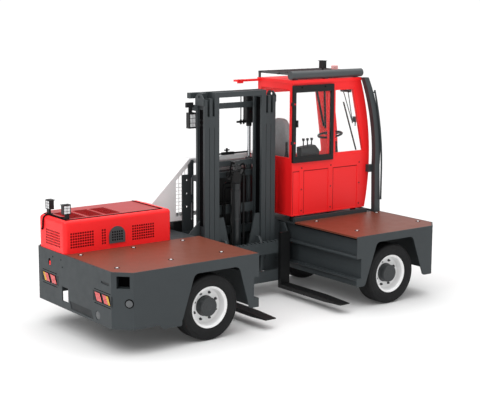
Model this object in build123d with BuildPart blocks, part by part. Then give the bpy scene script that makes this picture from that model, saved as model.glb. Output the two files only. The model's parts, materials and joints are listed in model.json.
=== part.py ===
from build123d import *
import math
import os

os.makedirs("parts", exist_ok=True)

# Millimetres. Origin on the floor under the middle of the chassis.
# +X is the cab end, -Y the load side that the forks point to, +Z up.

# Chassis
LENGTH = 4826
WIDTH = 2010
DECK_TOP = 932
SKIRT_BOTTOM = 304
PLATE = 15
BOARD = 20
CORNER = 173
DECK_BACK_Y = 201
FIT = 0.3
CUT = 1
BOARD_UNDER_Z = DECK_TOP - BOARD
TOP_PLATE_Z = BOARD_UNDER_Z - PLATE
HALF_LENGTH = LENGTH / 2
HALF_WIDTH = WIDTH / 2

# Well between the platforms, with the rails the mast frame reaches out on
WELL_X = 192
WELL_HALF = 755
WELL_REAR_X = WELL_X - WELL_HALF
WELL_FRONT_X = WELL_X + WELL_HALF
WALL_SET_BACK = 40
RAIL_DEPTH = 80
RAIL_WEB = 10
RAIL_SLOT_LOW = 409
RAIL_SLOT_HIGH = 659
RAIL_FLANGE = 30
RAIL_BEVEL = 14
RAIL_BACK_Y = HALF_WIDTH - 305

# Wheels
TYRE_RADIUS = 381
TYRE_WIDTH = 250
RIM_RADIUS = 243
WHEEL_FACE_Y = HALF_WIDTH - 55
KINGPIN_OFFSET = 230
REAR_AXLE_X = WELL_REAR_X - 640
FRONT_AXLE_X = WELL_FRONT_X + 632
WHEEL_Y = WHEEL_FACE_Y - TYRE_WIDTH / 2
KINGPIN_Y = WHEEL_Y - KINGPIN_OFFSET
KINGPIN_RADIUS = 45
KINGPIN_BOSS_RADIUS = 90
KINGPIN_BOSS_Z = TOP_PLATE_Z - 73
ARCH_ROUND = 75
ARCH_FOOT_ROUND = 45
ARCHES = {
    # end: axle x, top from and to, foot from and to, along x from the axle, top above the deck's top
    -1: (REAR_AXLE_X, -247, 363, -417, 508, -118),
    1: (FRONT_AXLE_X, -301, 311, -494, 509, -98),
}

# Mast
MAST_FRONT_Y = HALF_WIDTH - 638
MAST_DEPTH = 190
MAST_BACK_Y = MAST_FRONT_Y + MAST_DEPTH
RAIL_WIDTH = 70
RAIL_PITCH = 76
OUTER_HALF = 552
MAST_FLANGE = 34
MAST_WEB = 16
MAST_FOOT = 289
MAST_TOP = 2569
ROLLER_NOTCH = 210
LIFT_X = OUTER_HALF - 174
LIFT_Y = MAST_BACK_Y + 143
SPINE_FRONT_Y = LIFT_Y + 50
SPINE_BOTTOM = 339
SPINE_TOP = 679

# Forks and their carriage
FORK_SPREAD = 574
FORK_WIDTH = 150
FORK_THICK = 50
FORK_LOW = 99
FORK_TIP_Y = -HALF_WIDTH + 2
SHANK_FRONT_Y = MAST_FRONT_Y - 200
SHANK_TOP = 830
BAR_FRONT_Y = SHANK_FRONT_Y + FORK_THICK
BAR_BACK_Y = BAR_FRONT_Y + 45
BAR_HALF = FORK_SPREAD + FORK_WIDTH / 2 + 1

# Cab
CAB_X = WELL_FRONT_X - 14
CAB_Y = 257
CAB_FAR_Y = HALF_WIDTH - 20
CAB_FLOOR_Z = DECK_TOP + 67
CAB_TOP_Z = 2719
WALL = 40
NOSE_X = HALF_LENGTH - 205
CAB_NOSE = ((NOSE_X, CAB_FLOOR_Z), (NOSE_X + 64, 1869), (NOSE_X - 105, CAB_TOP_Z))
GLASS = 8

# Hood over the engine
HOOD_X = (-HALF_LENGTH + 8, -HALF_LENGTH + 1451)
HOOD_Y = (DECK_BACK_Y + 1, HALF_WIDTH - 20)
HOOD_TOP_Z = 1312
HOOD_ROUND = 48
HOOD_CORNER = CORNER + 20
SHEET = 20

# Guard behind the mast
GUARD_Y = (HALF_WIDTH - 223, HALF_WIDTH - 17)
GUARD_SHEET = 8


def keep(piece, name):
    piece.part.label = name
    export_step(piece.part, "parts/" + name + ".step")


def block(x, y, z, mode=Mode.ADD):
    with Locations(((x[0] + x[1]) / 2, (y[0] + y[1]) / 2, (z[0] + z[1]) / 2)):
        Box(x[1] - x[0], y[1] - y[0], z[1] - z[0], mode=mode)


def around(middle, half):
    return (middle - half, middle + half)


def mirrored(middle, low, high):
    return ((middle - high, middle - low), (middle + low, middle + high))


def rod(start, end, radius, mode=Mode.ADD):
    run = Vector(*end) - Vector(*start)
    with Locations(Plane(origin=start, z_dir=run)):
        Cylinder(radius, run.length, align=(Align.CENTER, Align.CENTER, Align.MIN), mode=mode)


def slab(points, y, mode=Mode.ADD):
    with BuildSketch(Plane.XZ.offset(-y[1])) as face:
        with BuildLine():
            Polyline(*points, close=True)
        make_face()
    extrude(face.sketch, amount=y[1] - y[0], mode=mode)


def cheek(points, x, mode=Mode.ADD):
    with BuildSketch(Plane.YZ.offset(x[0])) as face:
        with BuildLine():
            Polyline(*points, close=True)
        make_face()
    extrude(face.sketch, amount=x[1] - x[0], mode=mode)


def prism(points, z, mode=Mode.ADD):
    with BuildSketch(Plane.XY.offset(z[0])) as face:
        with BuildLine():
            Polyline(*points, close=True)
        make_face()
    extrude(face.sketch, amount=z[1] - z[0], mode=mode)


def perforate(plane, columns, rows, pitch, hole, depth):
    with BuildSketch(plane) as holes:
        with GridLocations(pitch, pitch, columns, rows):
            Rectangle(hole, hole)
    extrude(holes.sketch, amount=-depth, mode=Mode.SUBTRACT)


def plan(end, well_half, inset):
    end_x = end * (HALF_LENGTH - inset)
    side = HALF_WIDTH - inset
    corner = CORNER - inset * (2 - math.sqrt(2))
    well = WELL_X + end * (well_half + inset)
    return (
        (well, -side),
        (end_x - end * corner, -side),
        (end_x, -side + corner),
        (end_x, side - corner),
        (end_x - end * corner, side),
        (well, side),
    )


def platform(end):
    wall_half = WELL_HALF + WALL_SET_BACK
    prism(plan(end, wall_half, 0), (SKIRT_BOTTOM, TOP_PLATE_Z))
    prism(plan(end, wall_half, PLATE), (SKIRT_BOTTOM, TOP_PLATE_Z), Mode.SUBTRACT)
    prism(plan(end, WELL_HALF, 0), (TOP_PLATE_Z, DECK_TOP))
    tray = plan(end, WELL_HALF, PLATE)
    well_edge = WELL_X + end * (WELL_HALF - CUT)
    prism(((well_edge, tray[0][1]), *tray[1:5], (well_edge, tray[5][1])), (BOARD_UNDER_Z, DECK_TOP),
          Mode.SUBTRACT)
    lip = WELL_X + end * WELL_HALF
    near, far = sorted((lip, WELL_X + end * wall_half))
    for y in ((-HALF_WIDTH, -HALF_WIDTH + PLATE), (HALF_WIDTH - PLATE, HALF_WIDTH)):
        block((near, far), y, (SKIRT_BOTTOM, TOP_PLATE_Z))
    slot = sorted((lip, lip + end * (RAIL_DEPTH - RAIL_WEB)))
    block(slot, (-HALF_WIDTH, 0), (RAIL_SLOT_LOW, RAIL_SLOT_HIGH), Mode.SUBTRACT)
    rail = sorted((lip, lip + end * RAIL_DEPTH))
    block(rail, (-HALF_WIDTH + PLATE, RAIL_BACK_Y),
          (RAIL_SLOT_LOW - RAIL_FLANGE, RAIL_SLOT_HIGH + RAIL_FLANGE), Mode.SUBTRACT)
    axle_x, top_from, top_to, foot_from, foot_to, below_deck = ARCHES[end]
    with BuildSketch(Plane.XZ.offset(-HALF_WIDTH - CUT)) as arch:
        with BuildLine():
            Polyline(
                (axle_x + foot_from, SKIRT_BOTTOM), (axle_x + top_from, DECK_TOP + below_deck),
                (axle_x + top_to, DECK_TOP + below_deck), (axle_x + foot_to, SKIRT_BOTTOM), close=True,
            )
        make_face()
        fillet(arch.vertices().group_by(Axis.Y)[-1], ARCH_ROUND)
    extrude(arch.sketch, amount=WIDTH + 2 * CUT, mode=Mode.SUBTRACT)
    for side in (-1, 1):
        pin_y = side * KINGPIN_Y
        rod((axle_x, pin_y, KINGPIN_BOSS_Z), (axle_x, pin_y, TOP_PLATE_Z), KINGPIN_BOSS_RADIUS)
        rod((axle_x, pin_y, KINGPIN_BOSS_Z), (axle_x, pin_y, TOP_PLATE_Z), KINGPIN_RADIUS + FIT,
            Mode.SUBTRACT)


def arch_feet(piece, end):
    axle_x, _, _, foot_from, foot_to, _ = ARCHES[end]
    low = piece.edges().filter_by(Axis.Y).filter_by_position(Axis.Z, SKIRT_BOTTOM - CUT,
                                                             SKIRT_BOTTOM + CUT)
    return low.filter_by_position(Axis.X, axle_x + foot_from - CUT, axle_x + foot_to + CUT)


# Rear platform: end plate with lamp recesses, tow pocket, step recess and tie-down slot
LAMP_SIZE = (350, 114)
LAMP_ROUND = 16
TAIL_LAMPS = (
    # middle y, middle z
    (HALF_WIDTH - 447, 598),
    (-HALF_WIDTH + 360, 606),
)
TOW_POCKET_Y = (126, 272)
TOW_POCKET_Z = (388, 556)
TIE_SLOT = (HALF_WIDTH - 445, 790, 54, 84)
PLATE_RECESS_Y = (-HALF_WIDTH + 217, -HALF_WIDTH + 386)
PLATE_RECESS_Z = (772, 799)
STEP_RECESS = ((90, 421), (-395, 421), (-440, 334), (62, 334))
RECESS_DEPTH = 7
PLUG = (-HALF_WIDTH + 465, 395, 50)
CORNER_POCKET_Z = (755, 890)
CORNER_POCKET_HALF = 73
CORNER_POCKET_ALONG = 9
CORNER_CAP = (595, 38, 8)
CORNER_CAP_ALONG = 75
ENGINE_X = (HOOD_X[0] + 85, HOOD_X[0] + 645)
ENGINE_Y = (HOOD_Y[0] + 128, HOOD_Y[0] + 528)
ENGINE_FOOT_Z = 599
ENGINE_TOP_Z = 1229
ENGINE_ROOM = 15
BEAM_WIDTH = 50
BEAM_DEPTH = 120
SKIRT_LIP_X = (-1920, -1861)
SKIRT_LIP_Z = SKIRT_BOTTOM - 50
end_x = -HALF_LENGTH
through_end = (end_x - CUT, end_x + PLATE + CUT)
end_face = Plane(origin=(end_x, 0, 0), x_dir=(0, -1, 0), z_dir=(-1, 0, 0))
corner_middle = (end_x + CORNER / 2, -HALF_WIDTH + CORNER / 2)
corner_out = Vector(-1, -1, 0).normalized()
corner_face = Plane(origin=(*corner_middle, 0), x_dir=(1, -1, 0), z_dir=corner_out)
with BuildPart() as rear_platform:
    platform(-1)
    fillet(arch_feet(rear_platform, -1), ARCH_FOOT_ROUND)
    lip_end = ARCHES[-1][0] + ARCHES[-1][3] - 2
    lip_top = SKIRT_BOTTOM + ARCH_FOOT_ROUND
    for side_y in mirrored(0, HALF_WIDTH - PLATE, HALF_WIDTH):
        slab(((SKIRT_LIP_X[0], lip_top), (SKIRT_LIP_X[0], SKIRT_BOTTOM), (SKIRT_LIP_X[1], SKIRT_LIP_Z),
              (lip_end - 12, SKIRT_LIP_Z), (lip_end, SKIRT_LIP_Z + 12), (lip_end, lip_top)), side_y)
    block(through_end, TOW_POCKET_Y, TOW_POCKET_Z, Mode.SUBTRACT)
    with BuildSketch(end_face) as cuts:
        for lamp_y, lamp_z in TAIL_LAMPS:
            with Locations((-lamp_y, lamp_z)):
                RectangleRounded(*LAMP_SIZE, LAMP_ROUND)
        with Locations((-TIE_SLOT[0], TIE_SLOT[1])):
            SlotOverall(TIE_SLOT[3], TIE_SLOT[2], rotation=90)
    extrude(cuts.sketch, amount=-PLATE, mode=Mode.SUBTRACT)
    block((end_x - CUT, end_x + RECESS_DEPTH), PLATE_RECESS_Y, PLATE_RECESS_Z, Mode.SUBTRACT)
    cheek(STEP_RECESS, (end_x - CUT, end_x + RECESS_DEPTH), Mode.SUBTRACT)
    rod((end_x - CUT, PLUG[0], PLUG[1]), (end_x + RECESS_DEPTH, PLUG[0], PLUG[1]), PLUG[2],
        Mode.SUBTRACT)
    with BuildSketch(corner_face) as pocket:
        with Locations((CORNER_POCKET_ALONG, sum(CORNER_POCKET_Z) / 2)):
            Rectangle(2 * CORNER_POCKET_HALF, CORNER_POCKET_Z[1] - CORNER_POCKET_Z[0])
    extrude(pocket.sketch, amount=-PLATE - CUT, mode=Mode.SUBTRACT)
    with BuildSketch(corner_face) as cap:
        with Locations((CORNER_CAP_ALONG, CORNER_CAP[0])):
            Circle(CORNER_CAP[1])
    extrude(cap.sketch, amount=CORNER_CAP[2])
    beam_z = (ENGINE_FOOT_Z - BEAM_DEPTH, ENGINE_FOOT_Z)
    block((end_x + PLATE, ENGINE_X[0] + BEAM_WIDTH), ENGINE_Y, beam_z)
    block((ENGINE_X[1] - BEAM_WIDTH, ENGINE_X[1]), around(0, HALF_WIDTH - PLATE), beam_z)
    block((ENGINE_X[0] - ENGINE_ROOM, ENGINE_X[1] + ENGINE_ROOM),
          (ENGINE_Y[0] - ENGINE_ROOM, ENGINE_Y[1] + ENGINE_ROOM),
          (TOP_PLATE_Z - CUT, DECK_TOP + CUT), Mode.SUBTRACT)
keep(rear_platform, "rear_platform")

# Front platform, with the curb under the cab's edge
CURB_X = (CAB_X + 18, NOSE_X + 2)
CURB_Y = (DECK_BACK_Y + 1, CAB_Y - 9)
with BuildPart() as front_platform:
    platform(1)
    fillet(arch_feet(front_platform, 1), ARCH_FOOT_ROUND)
    block(CURB_X, CURB_Y, (BOARD_UNDER_Z, CAB_FLOOR_Z - 16))
keep(front_platform, "front_platform")

# Rails
with BuildPart() as reach_rails:
    for end in (-1, 1):
        lip = WELL_X + end * WELL_HALF
        back = WELL_X + end * (WELL_HALF + RAIL_DEPTH)
        low = RAIL_SLOT_LOW - RAIL_FLANGE
        high = RAIL_SLOT_HIGH + RAIL_FLANGE
        bevel = end * RAIL_BEVEL
        slab(
            (
                (back, low), (lip + bevel, low), (lip, low + RAIL_BEVEL), (lip, RAIL_SLOT_LOW),
                (back - end * RAIL_WEB, RAIL_SLOT_LOW), (back - end * RAIL_WEB, RAIL_SLOT_HIGH),
                (lip, RAIL_SLOT_HIGH), (lip, high - RAIL_BEVEL), (lip + bevel, high), (back, high),
            ),
            (-HALF_WIDTH + PLATE, RAIL_BACK_Y),
        )
keep(reach_rails, "reach_rails")

# Spine that joins the platforms behind the mast, with two punched posts beside the rear guard
POST_Y = (SPINE_FRONT_Y + 4, GUARD_Y[0] - 4)
LOW_POST_X = (WELL_X - 620, WELL_X - 526)
HIGH_POST_X = (WELL_X - 526, WELL_X - 452)
LOW_POST_TOP = 1600
HIGH_POST_TOP = 1780
POST_HOLES_Z = (1190, 1360, 1530)
POST_SLOTS_Z = (1130, 1450)
with BuildPart() as spine:
    block((WELL_REAR_X - WALL_SET_BACK, WELL_FRONT_X + WALL_SET_BACK),
          (SPINE_FRONT_Y, HALF_WIDTH - PLATE),
          (SPINE_BOTTOM, SPINE_TOP))
    block(LOW_POST_X, POST_Y, (SPINE_TOP, LOW_POST_TOP))
    slab(((HIGH_POST_X[0], SPINE_TOP), (HIGH_POST_X[1], SPINE_TOP), (HIGH_POST_X[1], HIGH_POST_TOP),
          (HIGH_POST_X[0] + 50, HIGH_POST_TOP), (HIGH_POST_X[0], HIGH_POST_TOP - 60)), POST_Y)
    for hole_z in POST_HOLES_Z:
        hole_x = sum(LOW_POST_X) / 2 + 20
        rod((hole_x, POST_Y[0] - CUT, hole_z), (hole_x, POST_Y[1] + CUT, hole_z), 14, Mode.SUBTRACT)
    for slot_z in POST_SLOTS_Z:
        with BuildSketch(Plane(origin=(HIGH_POST_X[1] - 26, POST_Y[0], slot_z), x_dir=(0, 0, 1),
                               z_dir=(0, -1, 0))) as slot:
            SlotOverall(230, 30)
        extrude(slot.sketch, amount=POST_Y[0] - POST_Y[1], mode=Mode.SUBTRACT)
keep(spine, "chassis_spine")

# Deck boards
with BuildPart() as deck_boards:
    for end in (-1, 1):
        edge = plan(end, WELL_HALF, PLATE + 1)
        well_edge = WELL_X + end * (WELL_HALF + 1)
        prism((edge[0], edge[1], edge[2], (edge[2][0], DECK_BACK_Y), (well_edge, DECK_BACK_Y),
               (well_edge, edge[0][1])),
              (BOARD_UNDER_Z, DECK_TOP))
keep(deck_boards, "deck_boards")

# Engine, one block under the hood
with BuildPart() as engine:
    block(ENGINE_X, ENGINE_Y, (ENGINE_FOOT_Z, ENGINE_TOP_Z))
keep(engine, "engine_block")

# Tail lamps
LAMP_SET_BACK = 3
LAMP_BACK = PLATE - LAMP_SET_BACK
with BuildPart() as tail_lamps:
    with BuildSketch(end_face.offset(-LAMP_SET_BACK)) as lenses:
        for lamp_y, lamp_z in TAIL_LAMPS:
            with Locations((-lamp_y, lamp_z)):
                RectangleRounded(*LAMP_SIZE, LAMP_ROUND)
    extrude(lenses.sketch, amount=-LAMP_BACK)
keep(tail_lamps, "tail_lamps")

# Hood: rounded box with openings for the grilles, and a hinged lid over the top and the far edge
LID_X = (HOOD_X[0] + 50, HOOD_X[1] - 88)
LID_Y = HOOD_Y[0] + HOOD_ROUND
LID_FLANGE = 170
LID_GAP = 6
LID_LOW_Z = HOOD_TOP_Z - LID_FLANGE
GRILLE_Z = 1082
GRILLE_PITCH = 31
GRILLE_HOLE = 20
SIDE_GRILLES = (
    # middle x from the hood's rear end, columns, rows
    (227, 10, 6),
    (511, 2, 6),
    (1044, 10, 6),
)
END_GRILLE = (DECK_BACK_Y + 282, 11, 6)
SCOOP_X = HOOD_X[0] + 685
SCOOP_HALF = 106
SCOOP_LOW_Z = 992
SCOOP_OUT = 12
LOUVRES = (
    # from and to along x, from the hood's rear end
    (155, 355),
    (400, 590),
    (625, 820),
)
LOUVRE_Y = HOOD_Y[0] + 353
LOUVRE_ROWS = 9
LOUVRE_PITCH = 46
LOUVRE_SLOT = 20


def grille_size(columns, rows):
    return (columns * GRILLE_PITCH + GRILLE_PITCH / 2, rows * GRILLE_PITCH + GRILLE_PITCH / 2)


def side_plane(x, z):
    return Plane(origin=(x, HOOD_Y[0], z), x_dir=(1, 0, 0), z_dir=(0, -1, 0))


end_plane = Plane(origin=(HOOD_X[0], END_GRILLE[0], GRILLE_Z), x_dir=(0, -1, 0), z_dir=(-1, 0, 0))
hood_grids = [(side_plane(HOOD_X[0] + x, GRILLE_Z), columns, rows) for x, columns, rows in SIDE_GRILLES]
hood_grids.append((end_plane, END_GRILLE[1], END_GRILLE[2]))


def hood_block(inset, top_z, corner_round):
    corner = HOOD_CORNER - inset * (2 - math.sqrt(2))
    x = (HOOD_X[0] + inset, HOOD_X[1] - inset)
    y = (HOOD_Y[0] + inset, HOOD_Y[1] - inset)
    with BuildPart() as body:
        prism(((x[0], y[0]), (x[1], y[0]), (x[1], y[1]), (x[0] + corner, y[1]), (x[0], y[1] - corner)),
              (BOARD_UNDER_Z, top_z))
        fillet(body.edges().filter_by(Axis.Z), corner_round)
    return body


def hood_shell():
    outside = hood_block(0, HOOD_TOP_Z, HOOD_ROUND)
    with BuildPart() as shell:
        add(outside.part)
        fillet(shell.faces().sort_by(Axis.Z)[-1].edges(), HOOD_ROUND - 4)
        add(hood_block(SHEET, HOOD_TOP_Z - SHEET, HOOD_ROUND - SHEET).part, mode=Mode.SUBTRACT)
    return shell.part


def lid_space(gap, hinge_gap):
    with BuildPart() as space:
        block((LID_X[0] + gap, LID_X[1] - gap), (LID_Y + hinge_gap, HOOD_Y[1] + CUT),
              (LID_LOW_Z + gap, HOOD_TOP_Z + CUT))
    return space.part


hood_body = hood_shell()
with BuildPart() as hood_base:
    add(hood_body)
    add(lid_space(0, 0), mode=Mode.SUBTRACT)
    block((-HALF_LENGTH - CUT, -HALF_LENGTH + PLATE + FIT), HOOD_Y, (BOARD_UNDER_Z - CUT, DECK_TOP),
          Mode.SUBTRACT)
    for plane, columns, rows in hood_grids:
        with BuildSketch(plane) as opening:
            Rectangle(*grille_size(columns, rows))
        extrude(opening.sketch, amount=-SHEET - CUT, mode=Mode.SUBTRACT)
keep(hood_base, "hood_base")

with BuildPart() as hood_lid:
    add(hood_body)
    add(lid_space(LID_GAP, FIT), mode=Mode.INTERSECT)
    for start, stop in LOUVRES:
        for row in range(LOUVRE_ROWS):
            middle_y = LOUVRE_Y + (row - (LOUVRE_ROWS - 1) / 2) * LOUVRE_PITCH
            block((HOOD_X[0] + start, HOOD_X[0] + stop), around(middle_y, LOUVRE_SLOT / 2),
                  (HOOD_TOP_Z - SHEET - CUT, HOOD_TOP_Z + CUT), Mode.SUBTRACT)
keep(hood_lid, "hood_lid")

# Grille panels in the hood's openings
GRILLE_THICK = 6
with BuildPart() as hood_grilles:
    for plane, columns, rows in hood_grids:
        with BuildSketch(plane) as panel:
            Rectangle(*grille_size(columns, rows))
        extrude(panel.sketch, amount=-GRILLE_THICK)
        perforate(plane, columns, rows, GRILLE_PITCH, GRILLE_HOLE, GRILLE_THICK)
keep(hood_grilles, "hood_grilles")

# Round-topped air scoop on the load side of the hood
with BuildPart() as hood_scoop:
    with BuildSketch(side_plane(SCOOP_X, SCOOP_LOW_Z)) as scoop:
        with BuildLine():
            Polyline((-SCOOP_HALF, SCOOP_HALF * 0.85), (-SCOOP_HALF, 0), (SCOOP_HALF, 0),
                     (SCOOP_HALF, SCOOP_HALF * 0.85))
            ThreePointArc((SCOOP_HALF, SCOOP_HALF * 0.85), (0, SCOOP_HALF * 1.85),
                          (-SCOOP_HALF, SCOOP_HALF * 0.85))
        make_face()
    extrude(scoop.sketch, amount=SCOOP_OUT)
    perforate(side_plane(SCOOP_X, SCOOP_LOW_Z + SCOOP_HALF * 0.8).offset(SCOOP_OUT), 5, 4, GRILLE_PITCH,
              GRILLE_HOLE, SCOOP_OUT / 2)
keep(hood_scoop, "hood_scoop")

# Work lamps on the lid, each a lamp head under a bent sheet bracket
LID_LAMPS = (
    # middle x and y from the hood's rear load-side corner, direction the lamp looks in
    (110, 540, (-1, 0)),
    (100, 140, (0, -1)),
)
LAMP_HEAD = 90
LAMP_HEAD_DEEP = 56
with BuildPart() as lid_lamps:
    for lamp_x, lamp_y, look in LID_LAMPS:
        foot = Plane(origin=(HOOD_X[0] + lamp_x, HOOD_Y[0] + lamp_y, HOOD_TOP_Z),
                     x_dir=(look[1], -look[0], 0), z_dir=(0, 0, 1))
        with Locations(foot):
            with Locations((0, 0, 3)):
                Box(60, 46, 6)
            with Locations((0, 26, 84)):
                Box(60, 6, 168)
            with Locations((0, -6, 165)):
                Box(104, 70, 6)
            with Locations((0, 0, 110)):
                Box(LAMP_HEAD, LAMP_HEAD_DEEP, LAMP_HEAD + 14)
            with Locations((0, 0, 30)):
                Cylinder(9, 60)
keep(lid_lamps, "lid_lamps")

# Rear guard: sloped cap, side sheet and a mesh panel
GUARD_FOOT = (HOOD_X[1] + 92, 1275)
GUARD_KNEE = (WELL_X - 497, 1797)
GUARD_END_X = CAB_X - 6
GUARD_LOW_Z = 1021
GUARD_LEG = 90
MESH_X = (WELL_X - 707, WELL_X - 440)
MESH_TOP = 1700
MESH_FRAME = 56
MESH_LOW_Z = GUARD_LOW_Z + MESH_FRAME
FAR_GAP_X = (WELL_X - 640, WELL_X - 230)
MESH_WIRE = 3
MESH_PITCH = 46
slope = (GUARD_KNEE[1] - GUARD_FOOT[1]) / (GUARD_KNEE[0] - GUARD_FOOT[0])
with BuildPart() as rear_guard:
    outline = ((GUARD_FOOT[0], BOARD_UNDER_Z), GUARD_FOOT, GUARD_KNEE, (GUARD_END_X, GUARD_KNEE[1]),
               (GUARD_END_X, GUARD_LOW_Z), (GUARD_FOOT[0] + GUARD_LEG, GUARD_LOW_Z),
               (GUARD_FOOT[0] + GUARD_LEG, BOARD_UNDER_Z))
    slab(outline, GUARD_Y)
    inner = (
        (GUARD_FOOT[0] + GUARD_SHEET, BOARD_UNDER_Z - CUT),
        (GUARD_FOOT[0] + GUARD_SHEET, GUARD_FOOT[1] - GUARD_SHEET / 2),
        (GUARD_KNEE[0] + GUARD_SHEET / 2, GUARD_KNEE[1] - GUARD_SHEET),
        (GUARD_END_X + CUT, GUARD_KNEE[1] - GUARD_SHEET),
        (GUARD_END_X + CUT, BOARD_UNDER_Z - CUT),
    )
    slab(inner, (GUARD_Y[0] + GUARD_SHEET, GUARD_Y[1] - GUARD_SHEET), Mode.SUBTRACT)
    corner_x = GUARD_FOOT[0] + (MESH_TOP - 40 - GUARD_FOOT[1]) / slope
    slab(((MESH_X[0], GUARD_LOW_Z - CUT), (GUARD_END_X + CUT, GUARD_LOW_Z - CUT),
          (GUARD_END_X + CUT, MESH_TOP + 40),
          (corner_x + 150, MESH_TOP + 40),
          (MESH_X[0], GUARD_FOOT[1] + slope * (MESH_X[0] - GUARD_FOOT[0]) - 40)),
         (GUARD_Y[0] - CUT, GUARD_Y[0] + GUARD_SHEET + CUT), Mode.SUBTRACT)
    slab(((FAR_GAP_X[0], MESH_LOW_Z), (FAR_GAP_X[1], MESH_LOW_Z), (FAR_GAP_X[1], MESH_TOP),
          (corner_x + 60, MESH_TOP),
          (FAR_GAP_X[0], MESH_TOP - 110)), (GUARD_Y[1] - GUARD_SHEET - CUT, GUARD_Y[1] + CUT),
          Mode.SUBTRACT)
keep(rear_guard, "rear_guard")

# Mesh panel of the rear guard, its wires in a sheet frame
mesh_inner_x = (MESH_X[0] + 4, MESH_X[1] - MESH_FRAME / 2)
mesh_inner_z = (GUARD_LOW_Z + MESH_FRAME, MESH_TOP - MESH_FRAME)
mesh_low_corner = GUARD_FOOT[1] + slope * (MESH_X[0] - GUARD_FOOT[0]) - 40
with BuildPart() as guard_mesh:
    mesh_y = (GUARD_Y[0], GUARD_Y[0] + GUARD_SHEET)
    mesh_outline = ((MESH_X[0], GUARD_LOW_Z), (MESH_X[1], GUARD_LOW_Z), (MESH_X[1], MESH_TOP + 40),
                    (corner_x + 150, MESH_TOP + 40),
                    (MESH_X[0], mesh_low_corner))
    slab(mesh_outline, mesh_y)
    slab(((mesh_inner_x[0], mesh_inner_z[0]), (mesh_inner_x[1], mesh_inner_z[0]),
          (mesh_inner_x[1], MESH_TOP - 4),
          (corner_x + 130, MESH_TOP - 4), (mesh_inner_x[0], mesh_low_corner - 30)),
         (mesh_y[0] - CUT, mesh_y[1] + CUT), Mode.SUBTRACT)
    for step in range(1, int((mesh_inner_x[1] - mesh_inner_x[0]) / MESH_PITCH) + 1):
        wire_x = mesh_inner_x[0] + step * MESH_PITCH
        wire_top = min(MESH_TOP, mesh_low_corner - 30 + slope * (wire_x - mesh_inner_x[0]))
        block(around(wire_x, MESH_WIRE), mesh_y, (GUARD_LOW_Z + 4, wire_top))
    for step in range(1, int((mesh_low_corner - mesh_inner_z[0]) / MESH_PITCH)):
        block((MESH_X[0] + 2, MESH_X[1] - 2), mesh_y,
              around(mesh_inner_z[0] + step * MESH_PITCH, MESH_WIRE))
keep(guard_mesh, "guard_mesh")

# Oil tank, battery box and valve block on the spine
TANK_X = (WELL_X - 210, WELL_FRONT_X - 65)
BOX_X = (WELL_X - 735, WELL_X - 448)
TANK_Y = (GUARD_Y[0] + 14, GUARD_Y[1] - 12)
TANK_TOP = 1540
BOX_TOP = GUARD_LOW_Z - 12
VALVE_X = (WELL_X - 150, WELL_X + 210)
VALVE_TOP = 1180
with BuildPart() as hydraulics:
    block(TANK_X, TANK_Y, (SPINE_TOP, TANK_TOP))
    block((TANK_X[0] + 30, TANK_X[1] - 30), around(sum(TANK_Y) / 2, 60), (TANK_TOP, TANK_TOP + 40))
    block(BOX_X, TANK_Y, (SPINE_TOP, BOX_TOP))
    block(VALVE_X, (SPINE_FRONT_Y + 6, TANK_Y[0]), (SPINE_TOP, VALVE_TOP))
    for row in range(5):
        bank_z = SPINE_TOP + 120 + row * 80
        block((VALVE_X[0] - 30, VALVE_X[1] + 30), (SPINE_FRONT_Y + 12, TANK_Y[0]), around(bank_z, 24))
keep(hydraulics, "hydraulic_tank")


# Cab walls
def cab_side(y):
    with BuildSketch(Plane.XZ.offset(-y[1])) as face:
        with BuildLine():
            ThreePointArc(*CAB_NOSE)
            Polyline(CAB_NOSE[2], (CAB_X, CAB_TOP_Z), (CAB_X, CAB_FLOOR_Z), CAB_NOSE[0])
        make_face()
    extrude(face.sketch, amount=y[1] - y[0])


WINDOW_X = (CAB_X + 52, CAB_X + 627)
WINDOW_Z = (1754, 2640)
PANE_LOW_Z = 1778
PANE_TOP_Z = 2606
PANE = ((CAB_X + 742, PANE_LOW_Z), (NOSE_X - 45, PANE_LOW_Z), (NOSE_X - 240, PANE_TOP_Z),
        (CAB_X + 732, PANE_TOP_Z))
PANE_STEP = 26
PANEL_Z = (CAB_FLOOR_Z + 18, 1585)
PANEL_STEP = 6
PANELS_X = (
    # from and to along x
    (CAB_X + 16, CAB_X + 128),
    (CAB_X + 198, CAB_X + 622),
    (CAB_X + 702, NOSE_X - 142),
)
DOOR_LOW_Z = CAB_FLOOR_Z + 45
DOOR_TOP_Z = CAB_TOP_Z - 80
DOOR_HOLE = ((CAB_X + 82, DOOR_LOW_Z), (NOSE_X - 113, DOOR_LOW_Z), (NOSE_X - 83, 1739),
             (NOSE_X - 213, DOOR_TOP_Z),
             (CAB_X + 82, DOOR_TOP_Z))
load_wall_y = (CAB_Y, CAB_Y + WALL)
with BuildPart() as cab_load_side:
    cab_side(load_wall_y)
    block(WINDOW_X, (CAB_Y - CUT, CAB_Y + WALL + CUT), WINDOW_Z, Mode.SUBTRACT)
    slab(PANE, (CAB_Y - CUT, CAB_Y + WALL + CUT), Mode.SUBTRACT)
    slab(((PANE[0][0] - PANE_STEP, PANE_LOW_Z - PANE_STEP),
          (PANE[1][0] + PANE_STEP, PANE_LOW_Z - PANE_STEP),
          (PANE[2][0] + PANE_STEP, PANE_TOP_Z + PANE_STEP),
          (PANE[3][0] - PANE_STEP, PANE_TOP_Z + PANE_STEP)),
         (CAB_Y - CUT, CAB_Y + PANEL_STEP), Mode.SUBTRACT)
    for panel_x in PANELS_X:
        block(panel_x, (CAB_Y - CUT, CAB_Y + PANEL_STEP), PANEL_Z, Mode.SUBTRACT)
keep(cab_load_side, "cab_load_side")

with BuildPart() as cab_door_side:
    cab_side((CAB_FAR_Y - WALL, CAB_FAR_Y))
    slab(DOOR_HOLE, (CAB_FAR_Y - WALL - CUT, CAB_FAR_Y + CUT), Mode.SUBTRACT)
keep(cab_door_side, "cab_door_side")

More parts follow.
